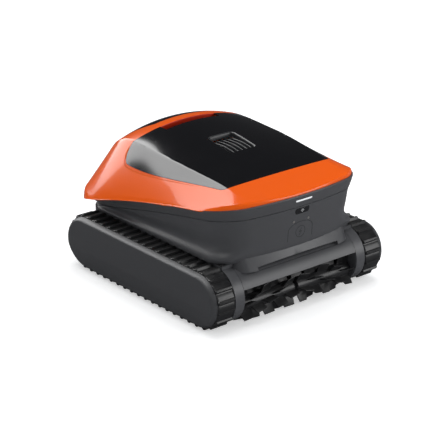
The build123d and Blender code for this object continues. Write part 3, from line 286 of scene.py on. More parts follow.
def body_plan(front_half, rear_half, front, rear, front_radius, rear_radius):
    """Plan outline of cover or hull: a rounded box that widens to the rear, its front edge bowed."""
    shallow = FRONT_BOW - np.sqrt(FRONT_BOW ** 2 - front_half ** 2)
    corners = [(front_half, -front + shallow), (rear_half, rear), (-rear_half, rear),
               (-front_half, -front + shallow)]
    outline = rounded(corners, [front_radius, rear_radius, rear_radius, front_radius], arc_steps=16)
    near_front = np.clip((-outline[:, 1]) / (front * 0.6), 0, 1)
    outline[:, 1] -= bow(outline[:, 0], front_half) * near_front ** 2
    return outline


LID_FRONT_GAP, LID_REAR_GAP = 63.0, 111.0
LID_FRONT_SIDE, LID_MIDDLE_SIDE, LID_REAR_SIDE = 43.0, 22.0, 40.0
LID_FRONT_CORNER, LID_REAR_CORNER = 14.0, 18.0
BAND_WIDTH, BAND_SHOULDER = 19.0, 45.0
TAIL_GAP, TAIL_SHOULDER_SIDE, TAIL_BACK_SIDE = 22.0, 17.0, 24.0


def lid_sizes():
    """Front and rear edge of the lid and its half widths at front, middle and rear."""
    cover = bpy.context.scene.robot_cover
    front_half = cover.half_rear - cover.taper
    return (-cover.nose + LID_FRONT_GAP, cover.tail - LID_REAR_GAP, front_half - LID_FRONT_SIDE,
            front_half - LID_MIDDLE_SIDE, cover.half_rear - LID_REAR_SIDE)


NOTCH_HALF = 62.0
NOTCH_LENGTH = 19.0


def lid_side(y):
    """Half width of the lid: an arc through its front, middle and rear half widths."""
    front, rear, front_half, middle_half, rear_half = lid_sizes()
    middle = (front + rear) / 2 - 28.0
    return np.polyval(np.polyfit([front, middle, rear], [front_half, middle_half, rear_half], 2), y)


def lid_outline(inset=0.0):
    """Closed outline of the lid's opening, anticlockwise from the middle of its right side."""
    front, rear, front_half, _, rear_half = lid_sizes()
    y = np.linspace(front, rear, 60)
    right = np.stack([lid_side(y) - inset, y], -1)
    right = right[(y > front + 22) & (y < rear - 24)]
    corners = ([(front_half - inset, front + inset)] + [tuple(p) for p in right]
               + [(rear_half - inset, rear - inset), (-rear_half + inset, rear - inset)]
               + [(-p[0], p[1]) for p in right[::-1]] + [(-front_half + inset, front + inset)])
    front_corner, rear_corner = LID_FRONT_CORNER - inset, LID_REAR_CORNER - inset
    radii = [front_corner] + [0] * len(right) + [rear_corner] * 2 + [0] * len(right) + [front_corner]
    return rounded(corners, radii)


def tail_outline(inset=0.0):
    """Closed outline of the rear panel's opening behind the carrying band."""
    cover = bpy.context.scene.robot_cover
    _, rear, front_half, _, _ = lid_sizes()
    front, shoulder, back = rear + BAND_WIDTH, rear + BAND_SHOULDER, cover.tail - TAIL_GAP
    right = [(NOTCH_HALF - 2 - inset * 0.4, front + inset),
             (front_half - TAIL_SHOULDER_SIDE - inset, shoulder + inset * 0.5),
             (front_half - TAIL_BACK_SIDE - inset, back - inset)]
    corners = right + [(-x, y) for x, y in right[::-1]]
    return rounded(corners, [6, 10, 12, 12, 10, 6], edge_step=2.5)


# ---------------------------------------------------------------- meshes
def grid_faces(rows, columns, closed):
    """Quads of a grid of points, row by row; a closed grid joins its last column to its first."""
    last = columns if closed else columns - 1
    row, column = np.meshgrid(np.arange(rows - 1), np.arange(last), indexing="ij")
    beside = (column + 1) % columns
    quads = np.stack([row * columns + column, row * columns + beside,
                      (row + 1) * columns + beside, (row + 1) * columns + column], -1)
    return quads.reshape(-1, 4)


def finish_piece(piece, body, material, nodes=(), sharp=35.0):
    """Shading, material, body, slot and replaced nodes of a new piece."""
    piece.data.shade_smooth()
    piece.data.set_sharp_from_angle(angle=radians(sharp))
    piece.data.materials.clear()
    piece.data.materials.append(material)
    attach(piece, body)
    if nodes:
        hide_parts(*nodes)
    return piece


def surface_piece(name, grids, weld=0.004):
    """A piece from grids of points in millimetres, each (points, closed); shared edges are welded."""
    points, quads, first = [], [], 0
    for grid, closed in grids:
        rows, columns = grid.shape[:2]
        points.append(grid.reshape(-1, 3))
        quads.append(grid_faces(rows, columns, closed) + first)
        first += rows * columns
    mesh = bpy.data.meshes.new(name)
    mesh.from_pydata((np.concatenate(points) * METRES).tolist(), [], np.concatenate(quads).tolist())
    form = bmesh.new()
    form.from_mesh(mesh)
    bmesh.ops.remove_doubles(form, verts=form.verts, dist=weld * METRES)
    bmesh.ops.dissolve_degenerate(form, edges=form.edges, dist=weld * METRES / 2)
    bmesh.ops.recalc_face_normals(form, faces=form.faces)
    form.to_mesh(mesh)
    form.free()
    piece = bpy.data.objects.new(name, mesh)
    bpy.context.scene.collection.objects.link(piece)
    return piece


def add_thickness(piece, thickness):
    """Gives a sheet its wall, away from its outer side."""
    wall = piece.modifiers.new("wall", "SOLIDIFY")
    wall.thickness = thickness * METRES
    wall.offset = -1.0
    wall.use_even_offset = True
    wall.use_quality_normals = True


def round_edges(piece, width, segments=3, angle=40.0):
    """Rounds the sharp edges of a piece."""
    edge = piece.modifiers.new("edge", "BEVEL")
    edge.width = width * METRES
    edge.segments = segments
    edge.limit_method = "ANGLE"
    edge.angle_limit = radians(angle)
    edge.harden_normals = True


def open_slot(piece, low, high):
    """Takes out the faces of a piece whose middles lie in a box given by two corners in millimetres."""
    form = bmesh.new()
    form.from_mesh(piece.data)
    low, high = np.array(low) * METRES, np.array(high) * METRES
    inside = [face for face in form.faces
              if all(low[k] < face.calc_center_median()[k] < high[k] for k in range(3))]
    bmesh.ops.delete(form, geom=inside, context="FACES")
    form.to_mesh(piece.data)
    form.free()


def face_up(piece):
    """Turns a sheet whose faces look down."""
    form = bmesh.new()
    form.from_mesh(piece.data)
    if sum(face.normal.z * face.calc_area() for face in form.faces) < 0:
        bmesh.ops.reverse_faces(form, faces=form.faces)
    form.to_mesh(piece.data)
    form.free()


def moulding(node, material, body, edge=0.0, sharp=32.0):
    """A copy of a CAD node, merged, with its sharp edges rounded as a mould leaves them."""
    mesh = frame["nodes"][node].data.copy()
    form = bmesh.new()
    form.from_mesh(mesh)
    bmesh.ops.remove_doubles(form, verts=form.verts, dist=1e-6)
    bmesh.ops.dissolve_limit(form, angle_limit=radians(0.6), verts=form.verts, edges=form.edges)
    form.to_mesh(mesh)
    form.free()
    piece = bpy.data.objects.new(node + ".finished", mesh)
    bpy.context.scene.collection.objects.link(piece)
    finish_piece(piece, body, material, [node], sharp)
    if edge:
        round_edges(piece, edge, segments=2, angle=50.0)
    return piece


# ---------------------------------------------------------------- effects shared by the finishes
def group_of(name, inputs, outputs):
    """A new shader node group with named float inputs and outputs."""
    tree = bpy.data.node_groups.new(name, "ShaderNodeTree")
    for label, value in inputs:
        socket = tree.interface.new_socket(label, in_out="INPUT", socket_type="NodeSocketFloat")
        socket.default_value = value
    for label in outputs:
        tree.interface.new_socket(label, in_out="OUTPUT", socket_type="NodeSocketFloat")
    return tree, tree.nodes.new("NodeGroupInput"), tree.nodes.new("NodeGroupOutput")


def maths(tree, operation, first, second, third=None):
    """A Math node fed by sockets or numbers."""
    node = tree.nodes.new("ShaderNodeMath")
    node.operation = operation
    for k, value in enumerate((first, second, third)):
        if value is None:
            continue
        if isinstance(value, (int, float)):
            node.inputs[k].default_value = value
        else:
            tree.links.new(value, node.inputs[k])
    return node.outputs[0]


def noise(tree, scale, detail, roughness=0.5, kind="ShaderNodeTexNoise"):
    """A texture on Object coordinates whose scale is a socket or a number."""
    place = tree.nodes.new("ShaderNodeTexCoord")
    texture = tree.nodes.new(kind)
    tree.links.new(place.outputs["Object"], texture.inputs["Vector"])
    if isinstance(scale, (int, float)):
        texture.inputs["Scale"].default_value = scale
    else:
        tree.links.new(scale, texture.inputs["Scale"])
    if "Detail" in texture.inputs:
        texture.inputs["Detail"].default_value = detail
        texture.inputs["Roughness"].default_value = roughness
    return texture


def build_grain():
    """Moulded grain: fine noise laid over rounded cells."""
    tree, given, result = group_of("moulded_grain", [("Scale", 900.0), ("Depth", 1.0)], ["Height", "Mask"])
    fine = noise(tree, given.outputs["Scale"], 3.0)
    cells = noise(tree, given.outputs["Scale"], 0.0, kind="ShaderNodeTexVoronoi")
    mixed = maths(tree, "MULTIPLY_ADD", fine.outputs["Fac"], 0.6, cells.outputs["Distance"])
    tree.links.new(maths(tree, "MULTIPLY", mixed, given.outputs["Depth"]), result.inputs["Height"])
    tree.links.new(fine.outputs["Fac"], result.inputs["Mask"])
    return tree


def build_handling():
    """Handling marks: broad soft smears crossed by fine stretched scratches."""
    tree, given, result = group_of("handling_marks", [("Amount", 1.0)], ["Smear", "Scratch"])
    broad = noise(tree, 14.0, 4.0, 0.6)
    low = maths(tree, "SUBTRACT", broad.outputs["Fac"], 0.5)
    tree.links.new(maths(tree, "MULTIPLY", low, given.outputs["Amount"]), result.inputs["Smear"])
    place = tree.nodes.new("ShaderNodeTexCoord")
    stretch = tree.nodes.new("ShaderNodeMapping")
    stretch.inputs["Rotation"].default_value = (0.0, 0.0, 0.6)
    stretch.inputs["Scale"].default_value = (900.0, 30.0, 60.0)
    lines = tree.nodes.new("ShaderNodeTexNoise")
    lines.inputs["Scale"].default_value = 1.0
    lines.inputs["Detail"].default_value = 2.0
    tree.links.new(place.outputs["Object"], stretch.inputs["Vector"])
    tree.links.new(stretch.outputs["Vector"], lines.inputs["Vector"])
    thin = maths(tree, "GREATER_THAN", lines.outputs["Fac"], 0.72)
    tree.links.new(maths(tree, "MULTIPLY", thin, given.outputs["Amount"]), result.inputs["Scratch"])
    return tree


def build_wear():
    """Edge wear: the pointed edges of the mesh, broken up by noise."""
    tree, given, result = group_of("edge_wear", [("Amount", 1.0)], ["Mask"])
    shape = tree.nodes.new("ShaderNodeNewGeometry")
    edge = maths(tree, "MULTIPLY", maths(tree, "SUBTRACT", shape.outputs["Pointiness"], 0.53), 9.0)
    broken = noise(tree, 120.0, 3.0)
    mask = maths(tree, "MULTIPLY", edge, broken.outputs["Fac"])
    limited = maths(tree, "MINIMUM", maths(tree, "MAXIMUM", mask, 0.0), 1.0)
    tree.links.new(maths(tree, "MULTIPLY", limited, given.outputs["Amount"]), result.inputs["Mask"])
    return tree


def build_dust():
    """Fine dust: on faces that look up, thicker in slow clouds."""
    tree, given, result = group_of("fine_dust", [("Amount", 1.0)], ["Mask"])
    shape = tree.nodes.new("ShaderNodeNewGeometry")
    split = tree.nodes.new("ShaderNodeSeparateXYZ")
    tree.links.new(shape.outputs["Normal"], split.inputs[0])
    up = maths(tree, "MAXIMUM", split.outputs["Z"], 0.0)
    clouds = noise(tree, 22.0, 5.0, 0.6)
    specks = noise(tree, 1400.0, 1.0)
    cloud = maths(tree, "MAXIMUM", maths(tree, "SUBTRACT", clouds.outputs["Fac"], 0.42), 0.0)
    speck = maths(tree, "MULTIPLY", cloud, specks.outputs["Fac"])
    tree.links.new(maths(tree, "MULTIPLY", maths(tree, "MULTIPLY", up, speck), given.outputs["Amount"]),
                   result.inputs["Mask"])
    return tree


GROUPS = {}
FINISHED = {}


def effect(material, name, **values):
    """One of the shared effects, placed in a material with its own values."""
    makers = {"moulded_grain": build_grain, "handling_marks": build_handling,
              "edge_wear": build_wear, "fine_dust": build_dust}
    if name not in GROUPS:
        GROUPS[name] = makers[name]()
    node = material.node_tree.nodes.new("ShaderNodeGroup")
    node.node_tree = GROUPS[name]
    for label, value in values.items():
        node.inputs[label].default_value = value
    return node


def blend_colour(tree, mask, base, over):
    """Mixes a colour over another where a mask is high."""
    mix = tree.nodes.new("ShaderNodeMix")
    mix.data_type = "RGBA"
    tree.links.new(mask, mix.inputs["Factor"])
    for socket, colour in ((mix.inputs["A"], base), (mix.inputs["B"], over)):
        if hasattr(colour, "links"):
            tree.links.new(colour, socket)
        else:
            socket.default_value = (*colour, 1.0)
    return mix.outputs["Result"]


def finish(name, colour, roughness, grain=900.0, depth=0.3, bump=0.15, smear=0.08, scratch=0.05, wear=0.5,
           dust=0.4, worn=None, coat=0.0, coat_roughness=0.04, metal=0.0, specular=0.5, glow=0.0):
    """A moulded, painted or metal finish: grain in the bump, smears and scratches in the roughness,
    worn edges and dust in the colour. Constants sit on the shader itself."""
    if name in FINISHED:
        return FINISHED[name]
    material = FINISHED[name] = bpy.data.materials.new(name + "_finish")
    material.use_nodes = True
    tree = material.node_tree
    shader = tree.nodes["Principled BSDF"]
    colour = tuple(colour)
    worn = worn or tuple(min(1.0, c * 1.8 + 0.02) for c in colour)
    shader.inputs["Metallic"].default_value = metal
    shader.inputs["Specular IOR Level"].default_value = specular
    shader.inputs["Coat Weight"].default_value = coat
    shader.inputs["Coat Roughness"].default_value = coat_roughness
    marks = effect(material, "handling_marks", Amount=1.0)
    edges = effect(material, "edge_wear", Amount=wear)
    dirt = effect(material, "fine_dust", Amount=dust)
    texture = effect(material, "moulded_grain", Scale=grain, Depth=depth)
    tint = blend_colour(tree, edges.outputs["Mask"], colour, worn)
    tint = blend_colour(tree, dirt.outputs["Mask"], tint, (0.42, 0.41, 0.39))
    tree.links.new(tint, shader.inputs["Base Color"])
    rough = maths(tree, "MULTIPLY_ADD", marks.outputs["Smear"], smear, roughness)
    rough = maths(tree, "MULTIPLY_ADD", marks.outputs["Scratch"], scratch, rough)
    rough = maths(tree, "ADD", rough, dirt.outputs["Mask"])
    rough = maths(tree, "MULTIPLY_ADD", texture.outputs["Mask"], smear * 0.5, rough)
    tree.links.new(rough, shader.inputs["Roughness"])
    relief = tree.nodes.new("ShaderNodeBump")
    relief.inputs["Strength"].default_value = bump
    relief.inputs["Distance"].default_value = 0.0002
    tree.links.new(texture.outputs["Height"], relief.inputs["Height"])
    tree.links.new(relief.outputs["Normal"], shader.inputs["Normal"])
    if glow:
        shader.inputs["Emission Color"].default_value = (*colour, 1.0)
        shader.inputs["Emission Strength"].default_value = glow
    return material


def finishes():
    """Every finish of the robot by its slot name."""
    look = bpy.context.scene.robot_finish
    return {
        "orange_gloss": finish("orange_gloss", look.orange, 0.2, grain=60.0, depth=0.5, bump=0.012,
                               smear=0.05, scratch=0.03, wear=0.2, dust=0.03, coat=0.35, coat_roughness=0.06,
                               specular=0.2),
        # the orange paint made darker and redder: painted shade for the shadowed wall inside the finger notch
        "orange_painted_shade": finish("orange_painted_shade", (0.55, 0.022, 0.002), 0.4, grain=60.0, depth=0.5, bump=0.012,
                               wear=0.1, dust=0.02),
        "black_gloss": finish("black_gloss", look.black, 0.09, grain=60.0, depth=0.5, bump=0.005, smear=0.05,
                              scratch=0.04, wear=0.2, dust=0.012, specular=0.6),
        "hull_grey": finish("hull_grey", look.grey, 0.36, grain=1300.0, depth=0.5, bump=0.16, wear=0.35,
                            dust=0.3),
        "side_cover_grey": finish("side_cover_grey", look.cover_grey, 0.46, grain=1500.0, depth=0.6, bump=0.2,
                                  wear=0.35, dust=0.35),
        "tread_rubber": finish("tread_rubber", look.rubber, 0.30, grain=700.0, depth=0.7, bump=0.3, wear=0.8,
                               dust=0.5, worn=(0.05, 0.05, 0.052)),
        "brush_rubber": finish("brush_rubber", look.rubber, 0.34, grain=500.0, depth=0.5, bump=0.2, wear=0.8,
                               dust=0.3, worn=(0.05, 0.05, 0.052)),
        "seal_rubber": finish("seal_rubber", (0.012, 0.012, 0.013), 0.6, grain=900.0, bump=0.3, dust=0.3),
        "wheel_plastic": finish("wheel_plastic", (0.018, 0.018, 0.020), 0.45, grain=900.0, bump=0.2),
        "frame_plastic": finish("frame_plastic", (0.014, 0.014, 0.016), 0.48, grain=900.0, bump=0.25),
        "grille_dark": finish("grille_dark", (0.020, 0.021, 0.024), 0.30, grain=900.0, bump=0.1, wear=0.6),
        "basket_grey": finish("basket_grey", (0.16, 0.165, 0.175), 0.45, grain=700.0, bump=0.2),
        "gear_nylon": finish("gear_nylon", (0.72, 0.70, 0.62), 0.42, grain=800.0, bump=0.15),
        "battery_wrap": finish("battery_wrap", (0.02, 0.07, 0.28), 0.35, grain=300.0, bump=0.15),
        "board_green": finish("board_green", (0.01, 0.12, 0.04), 0.35, grain=500.0, bump=0.2),
        "steel": finish("steel", (0.56, 0.56, 0.57), 0.28, grain=1500.0, bump=0.08, metal=1.0),
        "contact_metal": finish("contact_metal", (0.52, 0.50, 0.46), 0.3, grain=1500.0, bump=0.08, metal=1.0),
        "motor_can": finish("motor_can", (0.55, 0.55, 0.57), 0.35, grain=1200.0, bump=0.1, metal=1.0),
        "brass_gear": finish("brass_gear", (0.68, 0.48, 0.20), 0.3, grain=1200.0, bump=0.1, metal=1.0),
        "copper_coil": finish("copper_coil", (0.72, 0.33, 0.17), 0.32, grain=2200.0, depth=1.0, bump=0.4,
                              metal=1.0),
        "lamp_white": finish("lamp_white", (0.75, 0.76, 0.78), 0.3, grain=900.0, bump=0.05, dust=0.0,
                             wear=0.0, glow=0.3),
        # near black for engraved lines and pinholes: painted shade standing in for the shadow inside grooves
        # and holes
        "hollow_painted_shade": finish("hollow_painted_shade", (0.011, 0.011, 0.012), 0.6, grain=900.0, bump=0.1, dust=0.0,
                            wear=0.0),
    }


# ---------------------------------------------------------------- cover pieces
def shrunk(outline, by):
    """An outline moved inwards along its own normals by a small distance."""
    ahead, behind = np.roll(outline, -1, 0), np.roll(outline, 1, 0)
    along = ahead - behind
    along /= np.maximum(np.linalg.norm(along, axis=1, keepdims=True), 1e-9)
    inward = np.stack([-along[:, 1], along[:, 0]], -1)
    return outline + inward * by


def rim_rows(inner, outer, rows, rim):
    """Grid from an inner outline to the cover's plan outline, rounded over the last rim millimetres.

    Inside the rim the surface is the cover's; over it the height falls to the edge as a quarter ellipse.
    """
    cover_span = np.linalg.norm(outer - inner, axis=1)
    toward = (outer - inner) / np.maximum(cover_span, 1e-9)[:, None]
    flat = np.linspace(0, 1, rows)[:, None] * (cover_span - rim)[None]
    turn = np.linspace(0, np.pi / 2, 9)[1:]
    curved = cover_span[None] - rim * (1 - np.sin(turn))[:, None]
    way = np.concatenate([flat, curved])
    plan = inner[None] + toward[None] * way[..., None]
    height = cover_height(plan[..., 0], plan[..., 1])
    edge = cover_edge(plan[..., 1])
    left = np.clip((cover_span[None] - way) / rim, 0, 1)
    round_off = np.sqrt(np.maximum(1 - (1 - left) ** 2, 0))
    edge = np.minimum(edge, height)
    return np.concatenate([plan, (edge + (height - edge) * round_off)[..., None]], -1)


def resample(line, count):
    """Points spaced evenly along an open line."""
    length = np.concatenate([[0], np.cumsum(np.linalg.norm(np.diff(line, axis=0), axis=1))])
    at = np.linspace(0, length[-1], count)
    return np.stack([np.interp(at, length, line[:, k]) for k in range(line.shape[1])], -1)


def nearest(outline, place):
    """Index of the outline's point nearest a place."""
    return int(np.argmin(np.linalg.norm(outline - np.array(place), axis=1)))


def from_to(outline, first, last):
    """Points of a closed outline from one index on to another."""
    turned = np.roll(outline, -first, axis=0)
    return turned[:(last - first) % len(outline) + 1]


def panel_edges():
    """The lid and rear panel openings cut at their corners: lid front, lid rear, tail rear, tail front."""
    lid, tail = lid_outline(), tail_outline()
    _, lid_rear, front_half, _, rear_half = lid_sizes()
    cut = LID_REAR_CORNER * (1 - np.cos(np.pi / 4))
    right, left = (nearest(lid, (side * (rear_half - cut), lid_rear - cut)) for side in (1, -1))
    shoulder = (front_half - TAIL_SHOULDER_SIDE, lid_rear + BAND_SHOULDER)
    shoulder_right, shoulder_left = (nearest(tail, (side * shoulder[0], shoulder[1])) for side in (1, -1))
    return (from_to(lid, left, right), from_to(lid, right, left),
            from_to(tail, shoulder_right, shoulder_left), from_to(tail, shoulder_left, shoulder_right)[::-1])


LEDGE_WIDTH = 6.0


def frame_grids():
    """Grids of the surround: ring, carrying band and the lips that carry the lid and the rear panel."""
    cover = bpy.context.scene.robot_cover
    lid_front, lid_back, tail_back, tail_front = panel_edges()
    steps = np.linspace(0, 1, 14)
    join_right = lid_front[-1] + (tail_back[0] - lid_front[-1]) * steps[:, None]
    join_left = tail_back[-1] + (lid_front[0] - tail_back[-1]) * steps[:, None]
    inner = np.concatenate([lid_front, join_right[1:-1], tail_back, join_left[1:-1]])
    plan = body_plan(cover.half_rear - cover.taper, cover.half_rear, cover.nose, cover.tail,
                     CORNER_FRONT, CORNER_REAR)
    outer = at_angles(plan, np.arctan2(inner[:, 1], inner[:, 0]))
    ring = rim_rows(inner, outer, 34, cover.rim_round)
    across = 110
    way = steps[:, None, None]
    band = on_cover(resample(lid_back, across)[None] * (1 - way) + resample(tail_front, across)[None] * way)
    grids = [(ring, True), (band, False)]
    for outline in (lid_outline(), tail_outline()):
        below, inside = shrunk(outline, 0.02), shrunk(outline, LEDGE_WIDTH)
        seat = cover.panel + 0.6
        grids.append((np.stack([on_cover(outline), on_cover(below, 1.5), on_cover(below, seat),
                                on_cover(inside, seat), on_cover(inside, cover.panel + 2.2)]), True))
    return grids


def grille_outline(grow=0.0):
    """Outline of the outlet's opening: rounded corners, its rear edge arched."""
    low, high = GRILLE_LOW[:2] - grow, GRILLE_HIGH[:2] + grow
    outline = rounded([(high[0], low[1]), (high[0], high[1]), (low[0], high[1]), (low[0], low[1])],
                      [7.0, 9.0, 9.0, 7.0], arc_steps=10, edge_step=2.0)
    return outline


def lid_grids():
    """Grids of the lid: a ring from the outlet to the edge, and an ear each side of the finger notch."""
    cover = bpy.context.scene.robot_cover
    outline = lid_outline(cover.seam)
    _, lid_rear, _, _, _ = lid_sizes()
    notch_y = lid_rear - NOTCH_LENGTH
    columns = 24
    body = outline[outline[:, 1] < notch_y - 0.5]
    body = body[np.argsort(np.mod(np.arctan2(body[:, 1] + 22.0, body[:, 0]) + np.pi * 1.5, 2 * np.pi))]
    half = right_half(outline)
    side = np.interp(notch_y, half[:, 1], half[:, 0])
    back_right = np.stack([np.linspace(side, NOTCH_HALF, columns), np.full(columns, notch_y)], -1)
    back_middle = np.stack([np.linspace(NOTCH_HALF, -NOTCH_HALF, 60)[1:-1], np.full(58, notch_y)], -1)
    back_left = back_right[::-1] * (-1, 1)
    # body starts at the rear left, runs round the front and ends at the rear right
    outer = np.concatenate([body, back_right, back_middle, back_left])
    middle = np.array([0.0, (GRILLE_LOW[1] + GRILLE_HIGH[1]) / 2])
    angles = np.arctan2(outer[:, 1] - middle[1], outer[:, 0])
    inner = at_angles(grille_outline(0.15) - middle, angles) + middle
    way = np.linspace(0, 1, 46)[:, None, None]
    ring = on_cover(inner[None] * (1 - way) + outer[None] * way)
    grids = [(ring, True)]
    rear = np.linspace(0, 1, 22)
    y = notch_y + (lid_rear - cover.seam - notch_y) * np.sin(rear * np.pi / 2)
    wide = np.interp(y, half[:, 1], half[:, 0])
    wide[-1] = np.max(half[half[:, 1] > half[-1, 1] - 1e-6][:, 0])
    for sign in (1, -1):
        share = np.linspace(0, 1, columns)
        x = sign * (wide[:, None] * (1 - share) + NOTCH_HALF * share)
        grids.append((on_cover(np.stack([x, np.repeat(y[:, None], columns, 1)], -1)), False))
    return grids


def right_half(outline):
    """Right half of an outline with y rising, one x for each y."""
    half = outline[outline[:, 0] > 0]
    half = half[np.argsort(half[:, 1], kind="stable")]
    _, first = np.unique(np.round(half[:, 1], 3), return_index=True)
    return half[first]


BAND_WALL = 13.0
PINHOLE = np.array([102.0, 64.5])
PINHOLE_SLOPE = 0.33


class ROBOT_OT_surround(bpy.types.Operator):
    """Orange surround of the cover with its carrying band"""

    bl_idname = "robot.surround"
    bl_label = "Cover Surround"

    def execute(self, context):
        cover = context.scene.robot_cover
        paint = finishes()["orange_gloss"]
        _, lid_rear, _, _, _ = lid_sizes()
        slot = ((LATCH_LOW[0] - 2.0, lid_rear - 3.0, LATCH_LOW[2] - 1.5),
                (LATCH_HIGH[0] + 2.0, lid_rear + 9.0, LATCH_LOW[2] + 5.5))
        piece = surface_piece("cover_surround", frame_grids())
        face_up(piece)
        open_slot(piece, *slot)
        # the ledge under the lid stops each side of the finger notch
        open_slot(piece, (-NOTCH_HALF - 3, lid_rear - NOTCH_LENGTH, SIDE_HIGH[2]),
                  (NOTCH_HALF + 3, lid_rear - 0.2, COVER_HIGH[2]))
        finish_piece(piece, "base", paint, ["top_frame"])
        add_thickness(piece, cover.panel)
        round_edges(piece, cover.edge_round, angle=42.0)
        # wall of the carrying band, which the fingers hook behind; its darker red orange is painted shade for
        # the shadow in the finger notch
        reach = NOTCH_HALF + 8
        x = np.linspace(-reach, reach, 60)
        top = cover_height(x, np.full_like(x, lid_rear)) - 0.4
        depth = np.linspace(0, 1, 12)[:, None]
        drop = BAND_WALL * (1 - (np.abs(x) / reach) ** 8 * 0.5)
        z = top[None] - drop[None] * depth
        y = np.broadcast_to(lid_rear + 0.3 + 1.2 * depth ** 2, z.shape)
        across = np.broadcast_to(x, z.shape)
        wall = surface_piece("carrying_band_wall", [(np.stack([across, y, z], -1), False)])
        open_slot(wall, *slot)
        finish_piece(wall, "base", finishes()["orange_painted_shade"])
        add_thickness(wall, 2.2)
        round_edges(wall, 0.5)
        return {"FINISHED"}


class ROBOT_OT_panels(bpy.types.Operator):
    """Gloss black lid and rear panel"""

    bl_idname = "robot.panels"
    bl_label = "Lid and Rear Panel"

    def execute(self, context):
        cover = context.scene.robot_cover
        gloss = finishes()["black_gloss"]
        lid = surface_piece("front_lid", lid_grids())
        face_up(lid)
        finish_piece(lid, "lid", gloss, ["top_lid"])
        add_thickness(lid, cover.panel)
        round_edges(lid, cover.edge_round, angle=42.0)
        outline = tail_outline(cover.seam)
        half = right_half(outline)
        y = half[:, 1]
        share = np.linspace(-1, 1, 61)
        plan = np.stack([half[:, :1] * share[None], np.repeat(y[:, None], 61, 1)], -1)
        rear = surface_piece("rear_panel", [(on_cover(plan), False)])
        face_up(rear)
        finish_piece(rear, "base", gloss, ["tail_panel"])
        add_thickness(rear, cover.panel)
        round_edges(rear, cover.edge_round, angle=42.0)
        # pinholes of the microphones: shallow dimples with a dark floor, painted shade standing in for the
        # depth of the holes
        turn = np.linspace(0, 2 * np.pi, 25)[:-1]
        for side, name in ((1, "right"), (-1, "left")):
            radius = np.array([1.3, 1.0, 0.8, 0.0])[:, None]
            sink = np.array([-0.02, 0.10, -0.05, -0.05])[:, None]
            across = radius * np.cos(turn)
            x = side * PINHOLE[0] + across
            y = PINHOLE[1] + radius * np.sin(turn)
            z = cover_height(side * PINHOLE[:1], PINHOLE[1:])[0] - across * side * PINHOLE_SLOPE
            dot = surface_piece(f"pinhole_{name}", [(np.stack([x, y, z + sink], -1), True)])
            finish_piece(dot, "lid", finishes()["hollow_painted_shade"])
        return {"FINISHED"}


class ROBOT_OT_outlet(bpy.types.Operator):
    """Outlet recess of the lid: rim and curved fins"""

    bl_idname = "robot.outlet"
    bl_label = "Outlet Grille"

    def execute(self, context):
        dark = finishes()["grille_dark"]
        # rim: a chamfer and a wall that slopes in, swept round the opening
        outline = grille_outline(0.0)
        rows = [(0.0, 0.05), (0.7, -0.25), (1.7, -0.9), (2.3, -2.0), (2.6, -8.5), (3.6, -8.8)]
        level = cover_height(outline[:, 0], outline[:, 1])[:, None]
        rings = [np.concatenate([shrunk(outline, drawn_in), level + rise], -1) for drawn_in, rise in rows]
        rim = surface_piece("outlet_rim", [(np.stack(rings), True)])
        finish_piece(rim, "lid", dark, ["outlet_grille"], sharp=50.0)
        # fins: upright plates whose top sinks towards the rear
        front, rear = GRILLE_LOW[1] + 2.6, GRILLE_HIGH[1] - 2.6
        y = np.linspace(front, rear, 40)
        share = (y - front) / (rear - front)
        sink = 1.4 + 8.0 * np.clip((share - 0.25) / 0.75, 0, 1) ** 1.6
        count, half_fin = 5, 1.15
        pitch = (GRILLE_HIGH[0] - GRILLE_LOW[0]) / (count + 1)
        section = np.array([(-1.0, -9.0), (-1.0, -0.6), (-0.7, -0.15), (0.0, 0.0), (0.7, -0.15), (1.0, -0.6),
                            (1.0, -9.0)])
        grids = []
        for k in range(count):
            middle = (k - (count - 1) / 2) * pitch
            x = middle + section[:, 0][None] * half_fin + 0 * y[:, None]
            top = cover_height(np.full_like(y, middle), y) - sink
            z = top[:, None] + section[:, 1][None] * np.clip(1.25 - share, 0.3, 1)[:, None]
            grids.append((np.stack([x, np.repeat(y[:, None], 7, 1), z], -1), True))
        fins = surface_piece("outlet_fins", grids)
        finish_piece(fins, "lid", dark, sharp=50.0)
        # cross bars below the fins
        bars = []
        turn = np.linspace(0, 2 * np.pi, 9)[:-1]
        x = np.linspace(GRILLE_LOW[0] + 2.6, GRILLE_HIGH[0] - 2.6, 20)
        for place in (0.3, 0.62, 0.9):
            middle = front + (rear - front) * place
            ring_y = middle + 1.2 * np.cos(turn)[None] + 0 * x[:, None]
            level = cover_height(x, np.full_like(x, middle)) - 10.2
            ring_z = level[:, None] + 1.2 * np.sin(turn)
            bars.append((np.stack([np.repeat(x[:, None], 8, 1), ring_y, ring_z], -1), True))
        cross = surface_piece("outlet_bars", bars)
        finish_piece(cross, "lid", dark)
        return {"FINISHED"}


# ---------------------------------------------------------------- hull
# Share of the hull's height, half width at the front and at the rear past the chassis side,
# front past the nose, front corner radius.
HULL_STATIONS = np.array([
    (0.00, 7.0, 4.0, -13.0, 30.0),
    (0.08, 8.0, 5.0, -8.0, 26.0),
    (0.18, 2.0, 1.0, -6.0, 40.0),
    (0.45, 0.0, 9.0, -3.5, 50.0),
    (0.70, 3.0, 19.0, 0.0, 50.0),
    (0.88, 10.0, 29.0, 3.5, 50.0),
    (1.00, 16.0, 35.0, 2.5, 54.0),
])
CHASSIS_HALF = 150.0


